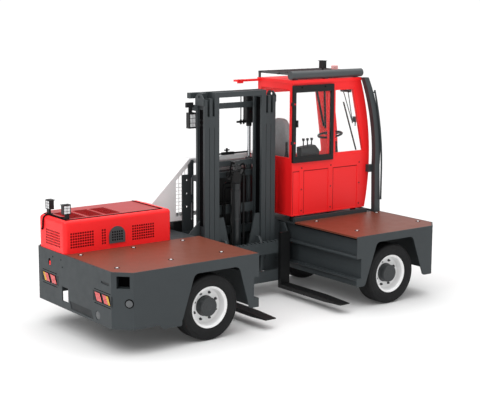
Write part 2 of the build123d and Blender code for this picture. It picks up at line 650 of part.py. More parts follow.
INSIDE_Y = (CAB_Y + WALL, CAB_FAR_Y - WALL)
REAR_PANE_Y = (INSIDE_Y[0] + 20, INSIDE_Y[1] - 30)
REAR_PANE_Z = (1754, 2640)
with BuildPart() as cab_rear_wall:
    block((CAB_X, CAB_X + WALL), INSIDE_Y, (CAB_FLOOR_Z, CAB_TOP_Z))
    block((CAB_X - CUT, CAB_X + WALL + CUT), REAR_PANE_Y, REAR_PANE_Z, Mode.SUBTRACT)
    for rib_y in (REAR_PANE_Y[0] + 160, REAR_PANE_Y[1] - 160):
        block((CAB_X - CUT, CAB_X + PANEL_STEP), around(rib_y, 90), PANEL_Z, Mode.SUBTRACT)
keep(cab_rear_wall, "cab_rear_wall")


def nose_band(outer, thick, y):
    with BuildSketch(Plane.XZ.offset(-y[1])) as band:
        with BuildLine():
            front = ThreePointArc(*[(x - outer, z) for x, z in CAB_NOSE])
            rear = ThreePointArc(*[(x - outer - thick, z) for x, z in CAB_NOSE])
            Line(front @ 0, rear @ 0)
            Line(front @ 1, rear @ 1)
        make_face()
    extrude(band.sketch, amount=y[1] - y[0])


SHIELD_Z = (1459, 2639)
SHIELD_Y = (INSIDE_Y[0] + 45, INSIDE_Y[1] - 45)
SHIELD_X = (NOSE_X - 320, NOSE_X + 200)
with BuildPart() as cab_front:
    nose_band(0, WALL, INSIDE_Y)
    block(SHIELD_X, SHIELD_Y, SHIELD_Z, Mode.SUBTRACT)
keep(cab_front, "cab_front")

FLOOR_THICK = 30
FLOOR_FRONT_X = NOSE_X - 53
FOOT_INSET = 62
FOOT_RADIUS = 40
with BuildPart() as cab_floor:
    block((CAB_X + WALL, FLOOR_FRONT_X), INSIDE_Y, (CAB_FLOOR_Z, CAB_FLOOR_Z + FLOOR_THICK))
    for foot_x in (CAB_X + WALL + FOOT_INSET, FLOOR_FRONT_X - FOOT_INSET):
        for foot_y in (INSIDE_Y[0] + FOOT_INSET, INSIDE_Y[1] - FOOT_INSET):
            rod((foot_x, foot_y, BOARD_UNDER_Z), (foot_x, foot_y, CAB_FLOOR_Z), FOOT_RADIUS)
keep(cab_floor, "cab_floor")

ROOF_X = (CAB_X - 13, CAB_NOSE[2][0] + 12)
ROOF_Y = (CAB_Y - 12, CAB_FAR_Y + 18)
ROOF_TOP = CAB_TOP_Z + 42
ROOF_TAIL_X = CAB_X - 390
with BuildPart() as cab_roof:
    block(ROOF_X, ROOF_Y, (CAB_TOP_Z, ROOF_TOP))
    fillet(cab_roof.edges().filter_by(Axis.Z), 25)
    block((ROOF_TAIL_X, ROOF_X[0] + 40), (ROOF_Y[1] - 88, ROOF_Y[1]), (CAB_TOP_Z, CAB_TOP_Z + 25))
    block((ROOF_TAIL_X, ROOF_TAIL_X + 90), (ROOF_Y[1] - 96, ROOF_Y[1] - 80),
          (CAB_TOP_Z - 20, CAB_TOP_Z + 32))
keep(cab_roof, "cab_roof")

# Glass of the cab
GLASS_IN = 12
with BuildPart() as cab_glass:
    slab(PANE, (CAB_Y + GLASS_IN, CAB_Y + GLASS_IN + GLASS))
    block((CAB_X + GLASS_IN, CAB_X + GLASS_IN + GLASS), REAR_PANE_Y, REAR_PANE_Z)
    with BuildPart(mode=Mode.PRIVATE) as shield:
        nose_band(GLASS_IN, GLASS, SHIELD_Y)
        block(SHIELD_X, SHIELD_Y, SHIELD_Z, Mode.INTERSECT)
    add(shield.part)
keep(cab_glass, "cab_glass")

# Hinged window on the load side
FRAME_X = (CAB_X - 8, CAB_X + 678)
FRAME_Z = (1698, 2696)
FRAME_Y = (CAB_Y - 30, CAB_Y - FIT)
FRAME_SIDE = 48
FRAME_LOW = 78
FRAME_HIGH = 92
FRAME_ROUND = 14
pane_x = (FRAME_X[0] + FRAME_SIDE, FRAME_X[1] - FRAME_SIDE)
pane_z = (FRAME_Z[0] + FRAME_LOW, FRAME_Z[1] - FRAME_HIGH)
with BuildPart() as window_frame:
    block(FRAME_X, FRAME_Y, FRAME_Z)
    fillet(window_frame.edges().filter_by(Axis.Y), FRAME_ROUND)
    block(pane_x, (FRAME_Y[0] - CUT, FRAME_Y[1] + CUT), pane_z, Mode.SUBTRACT)
    block((pane_x[0] - 4, pane_x[0] + 26), (FRAME_Y[0] - 14, FRAME_Y[0]), around(2207, 45))
keep(window_frame, "window_frame")
with BuildPart() as window_glass:
    block(pane_x, (FRAME_Y[0] + 10, FRAME_Y[0] + 10 + GLASS), pane_z)
keep(window_glass, "window_glass")

# Cab door on the far side
DOOR_GAP = 4
DOOR_Y = (CAB_FAR_Y - WALL + 2, CAB_FAR_Y)
DOOR_EDGE = (
    (DOOR_HOLE[0][0] + FIT, DOOR_HOLE[0][1] + DOOR_GAP),
    (DOOR_HOLE[1][0] - DOOR_GAP, DOOR_HOLE[1][1] + DOOR_GAP),
    (DOOR_HOLE[2][0] - DOOR_GAP, DOOR_HOLE[2][1]),
    (DOOR_HOLE[3][0] - DOOR_GAP, DOOR_HOLE[3][1] - DOOR_GAP),
    (DOOR_HOLE[4][0] + FIT, DOOR_HOLE[4][1] - DOOR_GAP),
)
DOOR_FRAME = 85
DOOR_PANE_Z = (1699, DOOR_TOP_Z - DOOR_FRAME)
DOOR_PANE = ((DOOR_HOLE[0][0] + DOOR_FRAME, DOOR_PANE_Z[0]),
             (DOOR_HOLE[2][0] - DOOR_FRAME, DOOR_PANE_Z[0]),
             (DOOR_HOLE[2][0] - DOOR_FRAME, 1759), (DOOR_HOLE[3][0] - DOOR_FRAME + 10, DOOR_PANE_Z[1]),
             (DOOR_HOLE[4][0] + DOOR_FRAME, DOOR_PANE_Z[1]))
with BuildPart() as cab_door:
    slab(DOOR_EDGE, DOOR_Y)
    slab(DOOR_PANE, (DOOR_Y[0] - CUT, DOOR_Y[1] + CUT), Mode.SUBTRACT)
    block((DOOR_HOLE[0][0] + 110, DOOR_HOLE[1][0] - 110), (DOOR_Y[1] - PANEL_STEP, DOOR_Y[1] + CUT),
          (DOOR_LOW_Z + 80, 1585), Mode.SUBTRACT)
keep(cab_door, "cab_door")
with BuildPart() as door_glass:
    slab(DOOR_PANE, (DOOR_Y[0] + 14, DOOR_Y[0] + 14 + GLASS))
keep(door_glass, "door_glass")

# Overhead guard on the roof: a thick rail on the load side and flat bars over the roof
TUBE_RADIUS = 54
TUBE_Y = CAB_Y + 43
TUBE_Z = ROOF_TOP + TUBE_RADIUS + 6
BAR_PITCH = 136
BAR_Z = (ROOF_TOP + 60, ROOF_TOP + 88)
BAR_END_Y = ROOF_Y[1] - 33
tube_x = (ROOF_X[0] + 5, ROOF_X[1] + 20)
bar_count = int((ROOF_X[1] - ROOF_X[0] - 60) / BAR_PITCH) + 1
with BuildPart() as roof_guard:
    rod((tube_x[0], TUBE_Y, TUBE_Z), (tube_x[1], TUBE_Y, TUBE_Z), TUBE_RADIUS)
    for foot_x in (ROOF_X[0] + 85, (ROOF_X[0] + ROOF_X[1]) / 2, ROOF_X[1] - 80):
        block(around(foot_x, 25), around(TUBE_Y, 25), (ROOF_TOP, ROOF_TOP + 40))
    block((ROOF_X[0] + 15, ROOF_X[1] - 30), (BAR_END_Y - 10, BAR_END_Y + 14), BAR_Z)
    block((ROOF_X[0] + 15, ROOF_X[1] - 30), around(TUBE_Y + 275, 7), BAR_Z)
    for step in range(bar_count):
        bar_x = ROOF_X[0] + 45 + step * BAR_PITCH
        block(around(bar_x, 7), (TUBE_Y + 30, BAR_END_Y), BAR_Z)
    for leg_x in (ROOF_X[0] + 30, ROOF_X[1] - 55):
        block(around(leg_x, 12), (BAR_END_Y - 12, BAR_END_Y + 14), (ROOF_TOP, ROOF_TOP + 70))
keep(roof_guard, "roof_guard")

roof_lamp_x = ROOF_X[0] + 45 + 5 * BAR_PITCH
with BuildPart() as roof_lamp:
    block(around(roof_lamp_x, 9), (500, 520), (BAR_Z[1], BAR_Z[1] + 40))
    block(around(roof_lamp_x, 26), (465, 555), (BAR_Z[1] + 30, BAR_Z[1] + 128))
    block((roof_lamp_x - 40, roof_lamp_x + 34), (455, 565), (BAR_Z[1] + 128, BAR_Z[1] + 134))
keep(roof_lamp, "roof_lamp")

BEACON = (ROOF_X[0] + 45 + 7.5 * BAR_PITCH, TUBE_Y + 360)
with BuildPart() as beacon:
    rod((*BEACON, ROOF_TOP), (*BEACON, ROOF_TOP + 22), 58)
    rod((*BEACON, ROOF_TOP + 22), (*BEACON, ROOF_TOP + 140), 46)
    fillet(beacon.edges().sort_by(Axis.Z)[-1], 14)
keep(beacon, "beacon")

# Guard post beside the cab, with its handrail
GUARD_POST_Y = (CAB_Y - 122, CAB_Y - 52)
POST_FOOT_X = HALF_LENGTH - 25
POST_BEND_Z = 1570
POST_TOP_Z = 2762
POST_OUTER = ((POST_FOOT_X - 24, POST_BEND_Z), (POST_FOOT_X - 92, 2330),
              (POST_FOOT_X - 258, POST_TOP_Z))
POST_INNER = ((POST_FOOT_X - 112, POST_BEND_Z), (POST_FOOT_X - 188, 2330),
              (POST_FOOT_X - 336, POST_TOP_Z))
RAIL_TUBE = 12
HANDRAIL_Y = GUARD_POST_Y[0] - 15
HANDRAIL_X = POST_FOOT_X - 4
HANDRAIL_Z = (1100, 1500, 2590)
HANDRAIL_LEAN = 156
with BuildPart() as guard_post:
    with BuildSketch(Plane.XZ.offset(-GUARD_POST_Y[1])) as band:
        with BuildLine():
            ThreePointArc(*POST_OUTER)
            Line(POST_OUTER[2], POST_INNER[2])
            ThreePointArc(*POST_INNER)
            Polyline(POST_INNER[0], (POST_FOOT_X - 98, DECK_TOP), (POST_FOOT_X, DECK_TOP),
                     POST_OUTER[0])
        make_face()
    extrude(band.sketch, amount=GUARD_POST_Y[1] - GUARD_POST_Y[0])
    block((NOSE_X + 12, NOSE_X + 92), (GUARD_POST_Y[1] - 10, CAB_Y - 1), (1479, 1579))
    with BuildLine(Plane.XZ.offset(-HANDRAIL_Y)) as grip:
        Line((HANDRAIL_X, HANDRAIL_Z[0]), (HANDRAIL_X, HANDRAIL_Z[1]))
        ThreePointArc((HANDRAIL_X, HANDRAIL_Z[1]),
                      (HANDRAIL_X - HANDRAIL_LEAN / 4, (HANDRAIL_Z[1] + HANDRAIL_Z[2]) / 2),
                      (HANDRAIL_X - HANDRAIL_LEAN, HANDRAIL_Z[2]))
    with BuildSketch(Plane(origin=(HANDRAIL_X, HANDRAIL_Y, HANDRAIL_Z[0]), z_dir=(0, 0, 1))) as tube:
        Circle(RAIL_TUBE)
    sweep(tube.sketch, path=grip.line)
    for end_x_at, end_z in ((HANDRAIL_X, HANDRAIL_Z[0] + 20),
                            (HANDRAIL_X - HANDRAIL_LEAN + 8, HANDRAIL_Z[2] - 30)):
        rod((end_x_at, HANDRAIL_Y, end_z), (end_x_at - 45, GUARD_POST_Y[0] + 12, end_z), RAIL_TUBE - 2)
keep(guard_post, "guard_post")

# Seat and controls
SEAT_Y = around((INSIDE_Y[0] + INSIDE_Y[1]) / 2 + 30, 230)
seat_z = CAB_FLOOR_Z + FLOOR_THICK
with BuildPart() as seat:
    block((CAB_X + 190, CAB_X + 560), (SEAT_Y[0] + 30, SEAT_Y[1] - 30), (seat_z, 1330))
    block((CAB_X + 130, CAB_X + 620), SEAT_Y, (1330, 1470))
    fillet(seat.edges().filter_by(Axis.Z), 30)
    slab(((CAB_X + 130, 1470), (CAB_X + 250, 1470), (CAB_X + 165, 2180), (CAB_X + 130, 2240),
          (CAB_X + 75, 2240)),
         (SEAT_Y[0] + 20, SEAT_Y[1] - 20))
keep(seat, "seat")

WHEEL_AT = (NOSE_X - 318, (INSIDE_Y[0] + INSIDE_Y[1]) / 2, 1971)
STEER_RADIUS = 161
CONSOLE_X = (CAB_X + 200, CAB_X + 500)
CONSOLE_Y = (INSIDE_Y[0] + 8, SEAT_Y[0] - 12)
with BuildPart() as controls:
    slab(((CONSOLE_X[0], 1480), (CONSOLE_X[1], 1480), (CONSOLE_X[1], 1830), (CONSOLE_X[1] - 70, 1900),
          (CONSOLE_X[0], 1880)), CONSOLE_Y)
    block((CONSOLE_X[0], CONSOLE_X[0] + 180), CONSOLE_Y, (seat_z, 1480))
    for lever in range(3):
        lever_x = CONSOLE_X[0] + 70 + lever * 70
        lever_y = sum(CONSOLE_Y) / 2
        rod((lever_x, lever_y, 1860), (lever_x, lever_y, 1960), 8)
        rod((lever_x, lever_y, 1960), (lever_x, lever_y, 1990), 18)
    slab(((NOSE_X - 180, seat_z), (NOSE_X - 100, seat_z), (NOSE_X - 230, 1880), (NOSE_X - 300, 1880)),
         around(WHEEL_AT[1], 45))
    with Locations(Plane(origin=WHEEL_AT, z_dir=(-0.17, 0, 0.98))):
        with Locations((0, 0, -50)):
            Cylinder(38, 110)
        with PolarLocations(0, 3, start_angle=90):
            with Locations((STEER_RADIUS / 2, 0, 0)):
                Box(STEER_RADIUS, 26, 12)
    with BuildSketch(Plane(origin=WHEEL_AT, x_dir=(0, 1, 0), z_dir=(0.98, 0, 0.17))) as section:
        with Locations((STEER_RADIUS, 0)):
            RegularPolygon(15, 6)
    revolve(section.sketch, axis=Axis(WHEEL_AT, (-0.17, 0, 0.98)))
keep(controls, "controls")

# Wheels
CORNERS = (
    # name, axle x, side
    ("rear_load", REAR_AXLE_X, -1),
    ("front_load", FRONT_AXLE_X, -1),
    ("rear_far", REAR_AXLE_X, 1),
    ("front_far", FRONT_AXLE_X, 1),
)
HALF_TYRE = TYRE_WIDTH / 2
FLANGE_AT = HALF_TYRE - 13
BEAD_RADIUS = RIM_RADIUS - 7
SHOULDER = 9
TYRE_SECTION = (
    # along the axle, from the axle
    (-FLANGE_AT + 14, BEAD_RADIUS), (-HALF_TYRE, TYRE_RADIUS - SHOULDER),
    (-HALF_TYRE + SHOULDER, TYRE_RADIUS),
    (HALF_TYRE - SHOULDER, TYRE_RADIUS), (HALF_TYRE, TYRE_RADIUS - SHOULDER),
    (FLANGE_AT - 14, BEAD_RADIUS),
)
HUB_RADIUS = 104
SPINDLE_RADIUS = 60
DISH_RADIUS = RIM_RADIUS - 38
RIM_SECTION = (
    # along the axle, from the axle
    (-SPINDLE_RADIUS, SPINDLE_RADIUS), (-SPINDLE_RADIUS, HUB_RADIUS - 4), (-12, HUB_RADIUS - 4),
    (-12, DISH_RADIUS),
    (-FLANGE_AT + 14, RIM_RADIUS - 22), (-FLANGE_AT + 14, BEAD_RADIUS), (FLANGE_AT - 14, BEAD_RADIUS),
    (FLANGE_AT - 2, RIM_RADIUS - 2), (FLANGE_AT + 4, RIM_RADIUS - 6), (FLANGE_AT, RIM_RADIUS - 22),
    (8, DISH_RADIUS), (8, HUB_RADIUS),
    (FLANGE_AT - 24, HUB_RADIUS), (FLANGE_AT - 24, 0), (40, 0), (40, SPINDLE_RADIUS),
)
MOTOR_RADIUS = 112
for name, axle_x, side in CORNERS:
    axle = Plane(origin=(axle_x, side * WHEEL_Y, TYRE_RADIUS), x_dir=(0, side, 0), z_dir=(side, 0, 0))
    spin = Axis((axle_x, side * WHEEL_Y, TYRE_RADIUS), (0, 1, 0))
    with BuildPart() as tyre:
        with BuildSketch(axle) as section:
            with BuildLine():
                Polyline(*TYRE_SECTION, close=True)
            make_face()
        revolve(section.sketch, axis=spin)
        with BuildSketch(axle) as seat_cut:
            with BuildLine():
                Polyline((FLANGE_AT - 14, BEAD_RADIUS), (FLANGE_AT - 2, RIM_RADIUS - 2),
                         (FLANGE_AT + 4, RIM_RADIUS - 6),
                         (HALF_TYRE, RIM_RADIUS - 6), (HALF_TYRE, BEAD_RADIUS), close=True)
            make_face()
        revolve(seat_cut.sketch, axis=spin, mode=Mode.SUBTRACT)
    keep(tyre, "tyre_" + name)
    with BuildPart() as rim:
        with BuildSketch(axle) as section:
            with BuildLine():
                Polyline(*RIM_SECTION, close=True)
            make_face()
        revolve(section.sketch, axis=spin)
    keep(rim, "rim_" + name)
    pin = side * KINGPIN_Y
    cap_z = KINGPIN_BOSS_Z - FIT
    with BuildPart() as knuckle:
        rod((axle_x, pin, cap_z), (axle_x, pin, TOP_PLATE_Z - 4), KINGPIN_RADIUS)
        rod((axle_x, pin, cap_z - 40), (axle_x, pin, cap_z), KINGPIN_BOSS_RADIUS + 8)
        block(around(axle_x, 80), sorted((pin - side * 85, pin + side * 62)),
              (TYRE_RADIUS - 120, cap_z - 40))
        rod((axle_x, pin + side * 60, TYRE_RADIUS),
            (axle_x, pin + side * (KINGPIN_OFFSET - SPINDLE_RADIUS - FIT), TYRE_RADIUS),
            MOTOR_RADIUS)
        rod((axle_x, pin, TYRE_RADIUS), (axle_x, pin + side * (KINGPIN_OFFSET + 38), TYRE_RADIUS),
            SPINDLE_RADIUS - FIT)
    keep(knuckle, "knuckle_" + name)

# Reach frame that carries the mast along the rails
FRAME_HALF = (WELL_HALF - 40, WELL_HALF - 10)
ROLLER_HALF = (WELL_HALF + 7, WELL_HALF + RAIL_DEPTH - RAIL_WEB - 7)
ROLLER_RADIUS = 60
ROLLER_PIN = 28
ROLLER_Y = (MAST_FRONT_Y + 73, MAST_FRONT_Y + 203)
FRAME_FRONT_Y = MAST_FRONT_Y - 67
FRAME_BACK_Y = MAST_FRONT_Y + 323
CROSS_Y = (MAST_BACK_Y + 50, MAST_BACK_Y + 90)
FRAME_LOW_Z = 349
FRAME_TOP_Z = 899
LIFT_FOOT = FRAME_LOW_Z + 140
roller_z = RAIL_SLOT_LOW + ROLLER_RADIUS + FIT
inner_frame_x = around(WELL_X, FRAME_HALF[0])
with BuildPart() as reach_frame:
    for side_x in mirrored(WELL_X, *FRAME_HALF):
        cheek(((FRAME_FRONT_Y, FRAME_LOW_Z), (FRAME_BACK_Y, FRAME_LOW_Z), (FRAME_BACK_Y, FRAME_TOP_Z),
               (FRAME_FRONT_Y + 80, FRAME_TOP_Z), (FRAME_FRONT_Y, FRAME_TOP_Z - 140)), side_x)
    for roller_x in mirrored(WELL_X, *ROLLER_HALF):
        for roller_y in ROLLER_Y:
            rod((roller_x[0], roller_y, roller_z), (roller_x[1], roller_y, roller_z), ROLLER_RADIUS)
    for pin_x in mirrored(WELL_X, FRAME_HALF[1] - CUT, ROLLER_HALF[0] + CUT):
        for roller_y in ROLLER_Y:
            rod((pin_x[0], roller_y, roller_z), (pin_x[1], roller_y, roller_z), ROLLER_PIN)
    block(inner_frame_x, (CROSS_Y[1], LIFT_Y + 38), (FRAME_LOW_Z, LIFT_FOOT))
    block(inner_frame_x, (CROSS_Y[1], LIFT_Y - 42), (FRAME_TOP_Z - 100, FRAME_TOP_Z))
    for end in (-1, 1):
        rail_x = WELL_X + end * OUTER_HALF
        wall_x = WELL_X + end * FRAME_HALF[0]
        slab(((rail_x, FRAME_LOW_Z), (wall_x, FRAME_LOW_Z), (wall_x, FRAME_TOP_Z),
              (rail_x, FRAME_TOP_Z + 150)), (MAST_FRONT_Y + 103, MAST_FRONT_Y + 123))
keep(reach_frame, "reach_frame")


# Mast stages
def mast_rails(outer_half, foot, top, notch):
    for low, high in mirrored(WELL_X, outer_half - RAIL_WIDTH, outer_half):
        block((low, high), (MAST_FRONT_Y, MAST_FRONT_Y + MAST_FLANGE), (foot, top))
        block((low, high), (MAST_BACK_Y - MAST_FLANGE, MAST_BACK_Y), (foot, top))
        block(around((low + high) / 2, MAST_WEB / 2), (MAST_FRONT_Y, MAST_BACK_Y), (foot, top))
    web_half = outer_half - RAIL_WIDTH / 2 - MAST_WEB / 2
    for notch_x in mirrored(WELL_X, outer_half - RAIL_WIDTH - CUT, web_half):
        if notch:
            block(notch_x, (MAST_FRONT_Y - CUT, MAST_FRONT_Y + MAST_FLANGE + CUT),
                  (MAST_TOP - ROLLER_NOTCH, top + CUT), Mode.SUBTRACT)


MIDDLE_HALF = OUTER_HALF - RAIL_PITCH
INNER_HALF = MIDDLE_HALF - RAIL_PITCH
PAD = RAIL_PITCH - RAIL_WIDTH - FIT
STAGE_STEP = 10
LUG_THICK = 14
LUG_EYE = (MAST_FRONT_Y + 95, MAST_TOP + 26, 22)
LUG_LOW_Z = MAST_TOP - 75
LUG_TOP_Z = MAST_TOP + 62
CROSS_BARS_Z = (
    # from and to
    (FRAME_LOW_Z, LIFT_FOOT),
    (FRAME_TOP_Z - 100, FRAME_TOP_Z),
    (MAST_TOP - 1030, MAST_TOP - 960),
    (MAST_TOP - 150, MAST_TOP - 80),
)
with BuildPart() as mast_outer:
    mast_rails(OUTER_HALF, MAST_FOOT, MAST_TOP, True)
    for bar_z in CROSS_BARS_Z:
        for rail_x in mirrored(WELL_X, OUTER_HALF - RAIL_WIDTH, OUTER_HALF):
            block(rail_x, (MAST_BACK_Y, CROSS_Y[0]), bar_z)
        block(around(WELL_X, OUTER_HALF), CROSS_Y, bar_z)
    for lug_x in mirrored(WELL_X, OUTER_HALF, OUTER_HALF + LUG_THICK):
        cheek(((MAST_FRONT_Y + 5, LUG_LOW_Z), (MAST_BACK_Y - 5, LUG_LOW_Z),
               (MAST_BACK_Y - 5, MAST_TOP + 20),
               (MAST_BACK_Y - 45, LUG_TOP_Z), (MAST_FRONT_Y + 60, LUG_TOP_Z),
               (MAST_FRONT_Y + 5, MAST_TOP + 10)), lug_x)
        rod((lug_x[0], LUG_EYE[0], LUG_EYE[1]), (lug_x[1], LUG_EYE[0], LUG_EYE[1]), LUG_EYE[2],
            Mode.SUBTRACT)
keep(mast_outer, "mast_outer")

# Lift cylinders behind the outer rails
BARREL_TOP = MAST_TOP - 810
BARREL_RADIUS = 40
LIFT_ROD_RADIUS = 25
with BuildPart() as lift_cylinders:
    for end in (-1, 1):
        x = WELL_X + end * LIFT_X
        rod((x, LIFT_Y, LIFT_FOOT), (x, LIFT_Y, BARREL_TOP), BARREL_RADIUS)
        rod((x, LIFT_Y, BARREL_TOP - 70), (x, LIFT_Y, BARREL_TOP), BARREL_RADIUS + 6)
        rod((x, LIFT_Y, LIFT_FOOT + 30), (x, LIFT_Y, BARREL_TOP), LIFT_ROD_RADIUS + FIT, Mode.SUBTRACT)
keep(lift_cylinders, "lift_cylinders")

BEAM_Z = (MAST_TOP - 3, MAST_TOP + 66)
ROD_HEAD_Z = MAST_TOP - 360
ROD_HEAD_HALF = 58
MIDDLE_TOP = MAST_TOP + STAGE_STEP
with BuildPart() as mast_middle:
    mast_rails(MIDDLE_HALF, MAST_FOOT + STAGE_STEP, MIDDLE_TOP, True)
    for pad_x in mirrored(WELL_X, MIDDLE_HALF, MIDDLE_HALF + PAD):
        for pad_z in ((MAST_FOOT + 20, MAST_FOOT + 150), (MAST_TOP - 350, MAST_TOP - 215)):
            block(pad_x, (MAST_FRONT_Y, MAST_BACK_Y), pad_z)
    for bar_z in ((MAST_FOOT + 220, MAST_FOOT + 310), (MAST_TOP - 880, MAST_TOP - 810)):
        block(around(WELL_X, MIDDLE_HALF), (MAST_BACK_Y, MAST_BACK_Y + 35), bar_z)
    for rail_x in mirrored(WELL_X, MIDDLE_HALF - RAIL_WIDTH, MIDDLE_HALF):
        block(rail_x, (MAST_BACK_Y - MAST_FLANGE, LIFT_Y - 45), BEAM_Z)
    block(around(WELL_X, OUTER_HALF + 13), (LIFT_Y - 45, LIFT_Y + 30), BEAM_Z)
    for end in (-1, 1):
        head_x = around(WELL_X + end * LIFT_X, ROD_HEAD_HALF)
        block(head_x, (LIFT_Y - 40, LIFT_Y + 30), (ROD_HEAD_Z, BEAM_Z[0]))
keep(mast_middle, "mast_middle")

with BuildPart() as lift_rods:
    for end in (-1, 1):
        x = WELL_X + end * LIFT_X
        rod((x, LIFT_Y, LIFT_FOOT + 40), (x, LIFT_Y, ROD_HEAD_Z), LIFT_ROD_RADIUS)
keep(lift_rods, "lift_rods")

INNER_BAR_THICK = 18
INNER_BACK_Y = (MAST_BACK_Y - INNER_BAR_THICK, MAST_BACK_Y)
INNER_FOOT = MAST_FOOT + 2 * STAGE_STEP
INNER_TOP = MAST_TOP + 80
SILL_TOP = INNER_FOOT + 50
with BuildPart() as mast_inner:
    mast_rails(INNER_HALF, INNER_FOOT, INNER_TOP, False)
    for pad_x in mirrored(WELL_X, INNER_HALF, INNER_HALF + PAD):
        for pad_z in ((MAST_FOOT + 30, MAST_FOOT + 160), (MAST_TOP - 350, MAST_TOP - 215)):
            block(pad_x, (MAST_FRONT_Y, MAST_BACK_Y), pad_z)
    for bar_z in ((INNER_FOOT + 20, INNER_FOOT + 150), (INNER_TOP - 1567, INNER_TOP - 1450)):
        block(around(WELL_X, INNER_HALF), INNER_BACK_Y, bar_z)
    block(around(WELL_X, INNER_HALF), (MAST_FRONT_Y, MAST_FRONT_Y + 60), (INNER_TOP - 64, INNER_TOP))
    block(around(WELL_X, 60), (MAST_FRONT_Y + 43, INNER_BACK_Y[0]), (INNER_FOOT + 20, SILL_TOP))
keep(mast_inner, "mast_inner")

# Free-lift cylinder with its crosshead
FREE_Y = MAST_FRONT_Y + 103
FREE_RADIUS = 55
FREE_ROD_RADIUS = 35
FREE_TOP = 1480
with BuildPart() as free_barrel:
    rod((WELL_X, FREE_Y, SILL_TOP), (WELL_X, FREE_Y, FREE_TOP), FREE_RADIUS)
    rod((WELL_X, FREE_Y, FREE_TOP - 80), (WELL_X, FREE_Y, FREE_TOP), FREE_RADIUS + 7)
    rod((WELL_X, FREE_Y, SILL_TOP + 30), (WELL_X, FREE_Y, FREE_TOP), FREE_ROD_RADIUS + FIT,
        Mode.SUBTRACT)
keep(free_barrel, "free_lift_cylinder")

PULLEY_X = 86
PULLEY_RADIUS = 45
PULLEY_Z = FREE_TOP + 105
HEAD_LOW_Z = FREE_TOP + 5
with BuildPart() as lift_head:
    rod((WELL_X, FREE_Y, SILL_TOP + 240), (WELL_X, FREE_Y, HEAD_LOW_Z + 35), FREE_ROD_RADIUS)
    slab(((WELL_X - 50, HEAD_LOW_Z), (WELL_X + 50, HEAD_LOW_Z), (WELL_X + 60, HEAD_LOW_Z + 50),
          (WELL_X + 60, PULLEY_Z + 45),
          (WELL_X - 60, PULLEY_Z + 45), (WELL_X - 60, HEAD_LOW_Z + 50)), around(FREE_Y, 40))
    for end in (-1, 1):
        rod((WELL_X + end * 60, FREE_Y, PULLEY_Z), (WELL_X + end * 108, FREE_Y, PULLEY_Z),
            PULLEY_RADIUS)
        rod((WELL_X + end * 108, FREE_Y, PULLEY_Z), (WELL_X + end * 114, FREE_Y, PULLEY_Z),
            PULLEY_RADIUS + 8)
keep(lift_head, "lift_head")

# Fork carriage, the upper bar with notches for the forks' latches
PLATE_X = (INNER_HALF - 150, INNER_HALF - 120)
CARRIAGE_BARS_Z = ((194, 338), (561, 725))
NOTCH_PITCH = 64
NOTCH_WIDE = 26
NOTCH_DEEP = 18
CARRIAGE_ROLLERS_Z = (399, 699)
CARRIAGE_ROLLER_RADIUS = 55
CARRIAGE_ROLLER_Y = MAST_FRONT_Y + MAST_DEPTH / 2
roller_half = (INNER_HALF - RAIL_WIDTH + 2, INNER_HALF - RAIL_WIDTH / 2 - MAST_WEB / 2 - FIT)
ANCHOR_TOP_Z = CARRIAGE_BARS_Z[0][0] + 95
UPRIGHT_Y = (MAST_FRONT_Y + 18, MAST_FRONT_Y + 38)
UPRIGHT = (
    # from the middle, height
    (INNER_HALF - RAIL_WIDTH - 8, CARRIAGE_BARS_Z[0][1]),
    (INNER_HALF - RAIL_WIDTH - 8, 1075),
    (248, 1075),
    (135, 600),
    (135, CARRIAGE_BARS_Z[0][1]),
)
with BuildPart() as fork_carriage:
    for bar_z in CARRIAGE_BARS_Z:
        block(around(WELL_X, BAR_HALF), (BAR_FRONT_Y, BAR_BACK_Y), bar_z)
    for step in range(-int(BAR_HALF / NOTCH_PITCH), int(BAR_HALF / NOTCH_PITCH) + 1):
        block(around(WELL_X + step * NOTCH_PITCH, NOTCH_WIDE / 2),
              (BAR_FRONT_Y - CUT, BAR_BACK_Y + CUT),
              (CARRIAGE_BARS_Z[1][1] - NOTCH_DEEP, CARRIAGE_BARS_Z[1][1] + CUT), Mode.SUBTRACT)
    for plate_x in mirrored(WELL_X, *PLATE_X):
        cheek(((BAR_BACK_Y, CARRIAGE_BARS_Z[0][0]),
               (CARRIAGE_ROLLER_Y + 53, CARRIAGE_BARS_Z[0][0] + 90),
               (CARRIAGE_ROLLER_Y + 53, CARRIAGE_BARS_Z[1][1] + 64),
               (BAR_BACK_Y + 60, CARRIAGE_BARS_Z[1][1] + 64),
               (BAR_BACK_Y, CARRIAGE_BARS_Z[1][1] - NOTCH_DEEP)), plate_x)
    for pin_x in mirrored(WELL_X, PLATE_X[1] - CUT, roller_half[0] + CUT):
        for z in CARRIAGE_ROLLERS_Z:
            rod((pin_x[0], CARRIAGE_ROLLER_Y, z), (pin_x[1], CARRIAGE_ROLLER_Y, z), 30)
    for roller_x in mirrored(WELL_X, *roller_half):
        for z in CARRIAGE_ROLLERS_Z:
            rod((roller_x[0], CARRIAGE_ROLLER_Y, z), (roller_x[1], CARRIAGE_ROLLER_Y, z),
                CARRIAGE_ROLLER_RADIUS)
    for end in (-1, 1):
        slab([(WELL_X + end * out, z) for out, z in UPRIGHT], UPRIGHT_Y)
    for anchor_x in mirrored(WELL_X, PULLEY_X - 15, PULLEY_X + 15):
        block(anchor_x, (BAR_BACK_Y, FREE_Y - PULLEY_RADIUS + 15), (ANCHOR_TOP_Z - 60, ANCHOR_TOP_Z))
keep(fork_carriage, "fork_carriage")

with BuildPart() as lift_chains:
    for end in (-1, 1):
        x = WELL_X + end * PULLEY_X
        block(around(x, 12), (FREE_Y - PULLEY_RADIUS - 12, FREE_Y - PULLEY_RADIUS),
              (ANCHOR_TOP_Z, PULLEY_Z))
keep(lift_chains, "lift_chains")

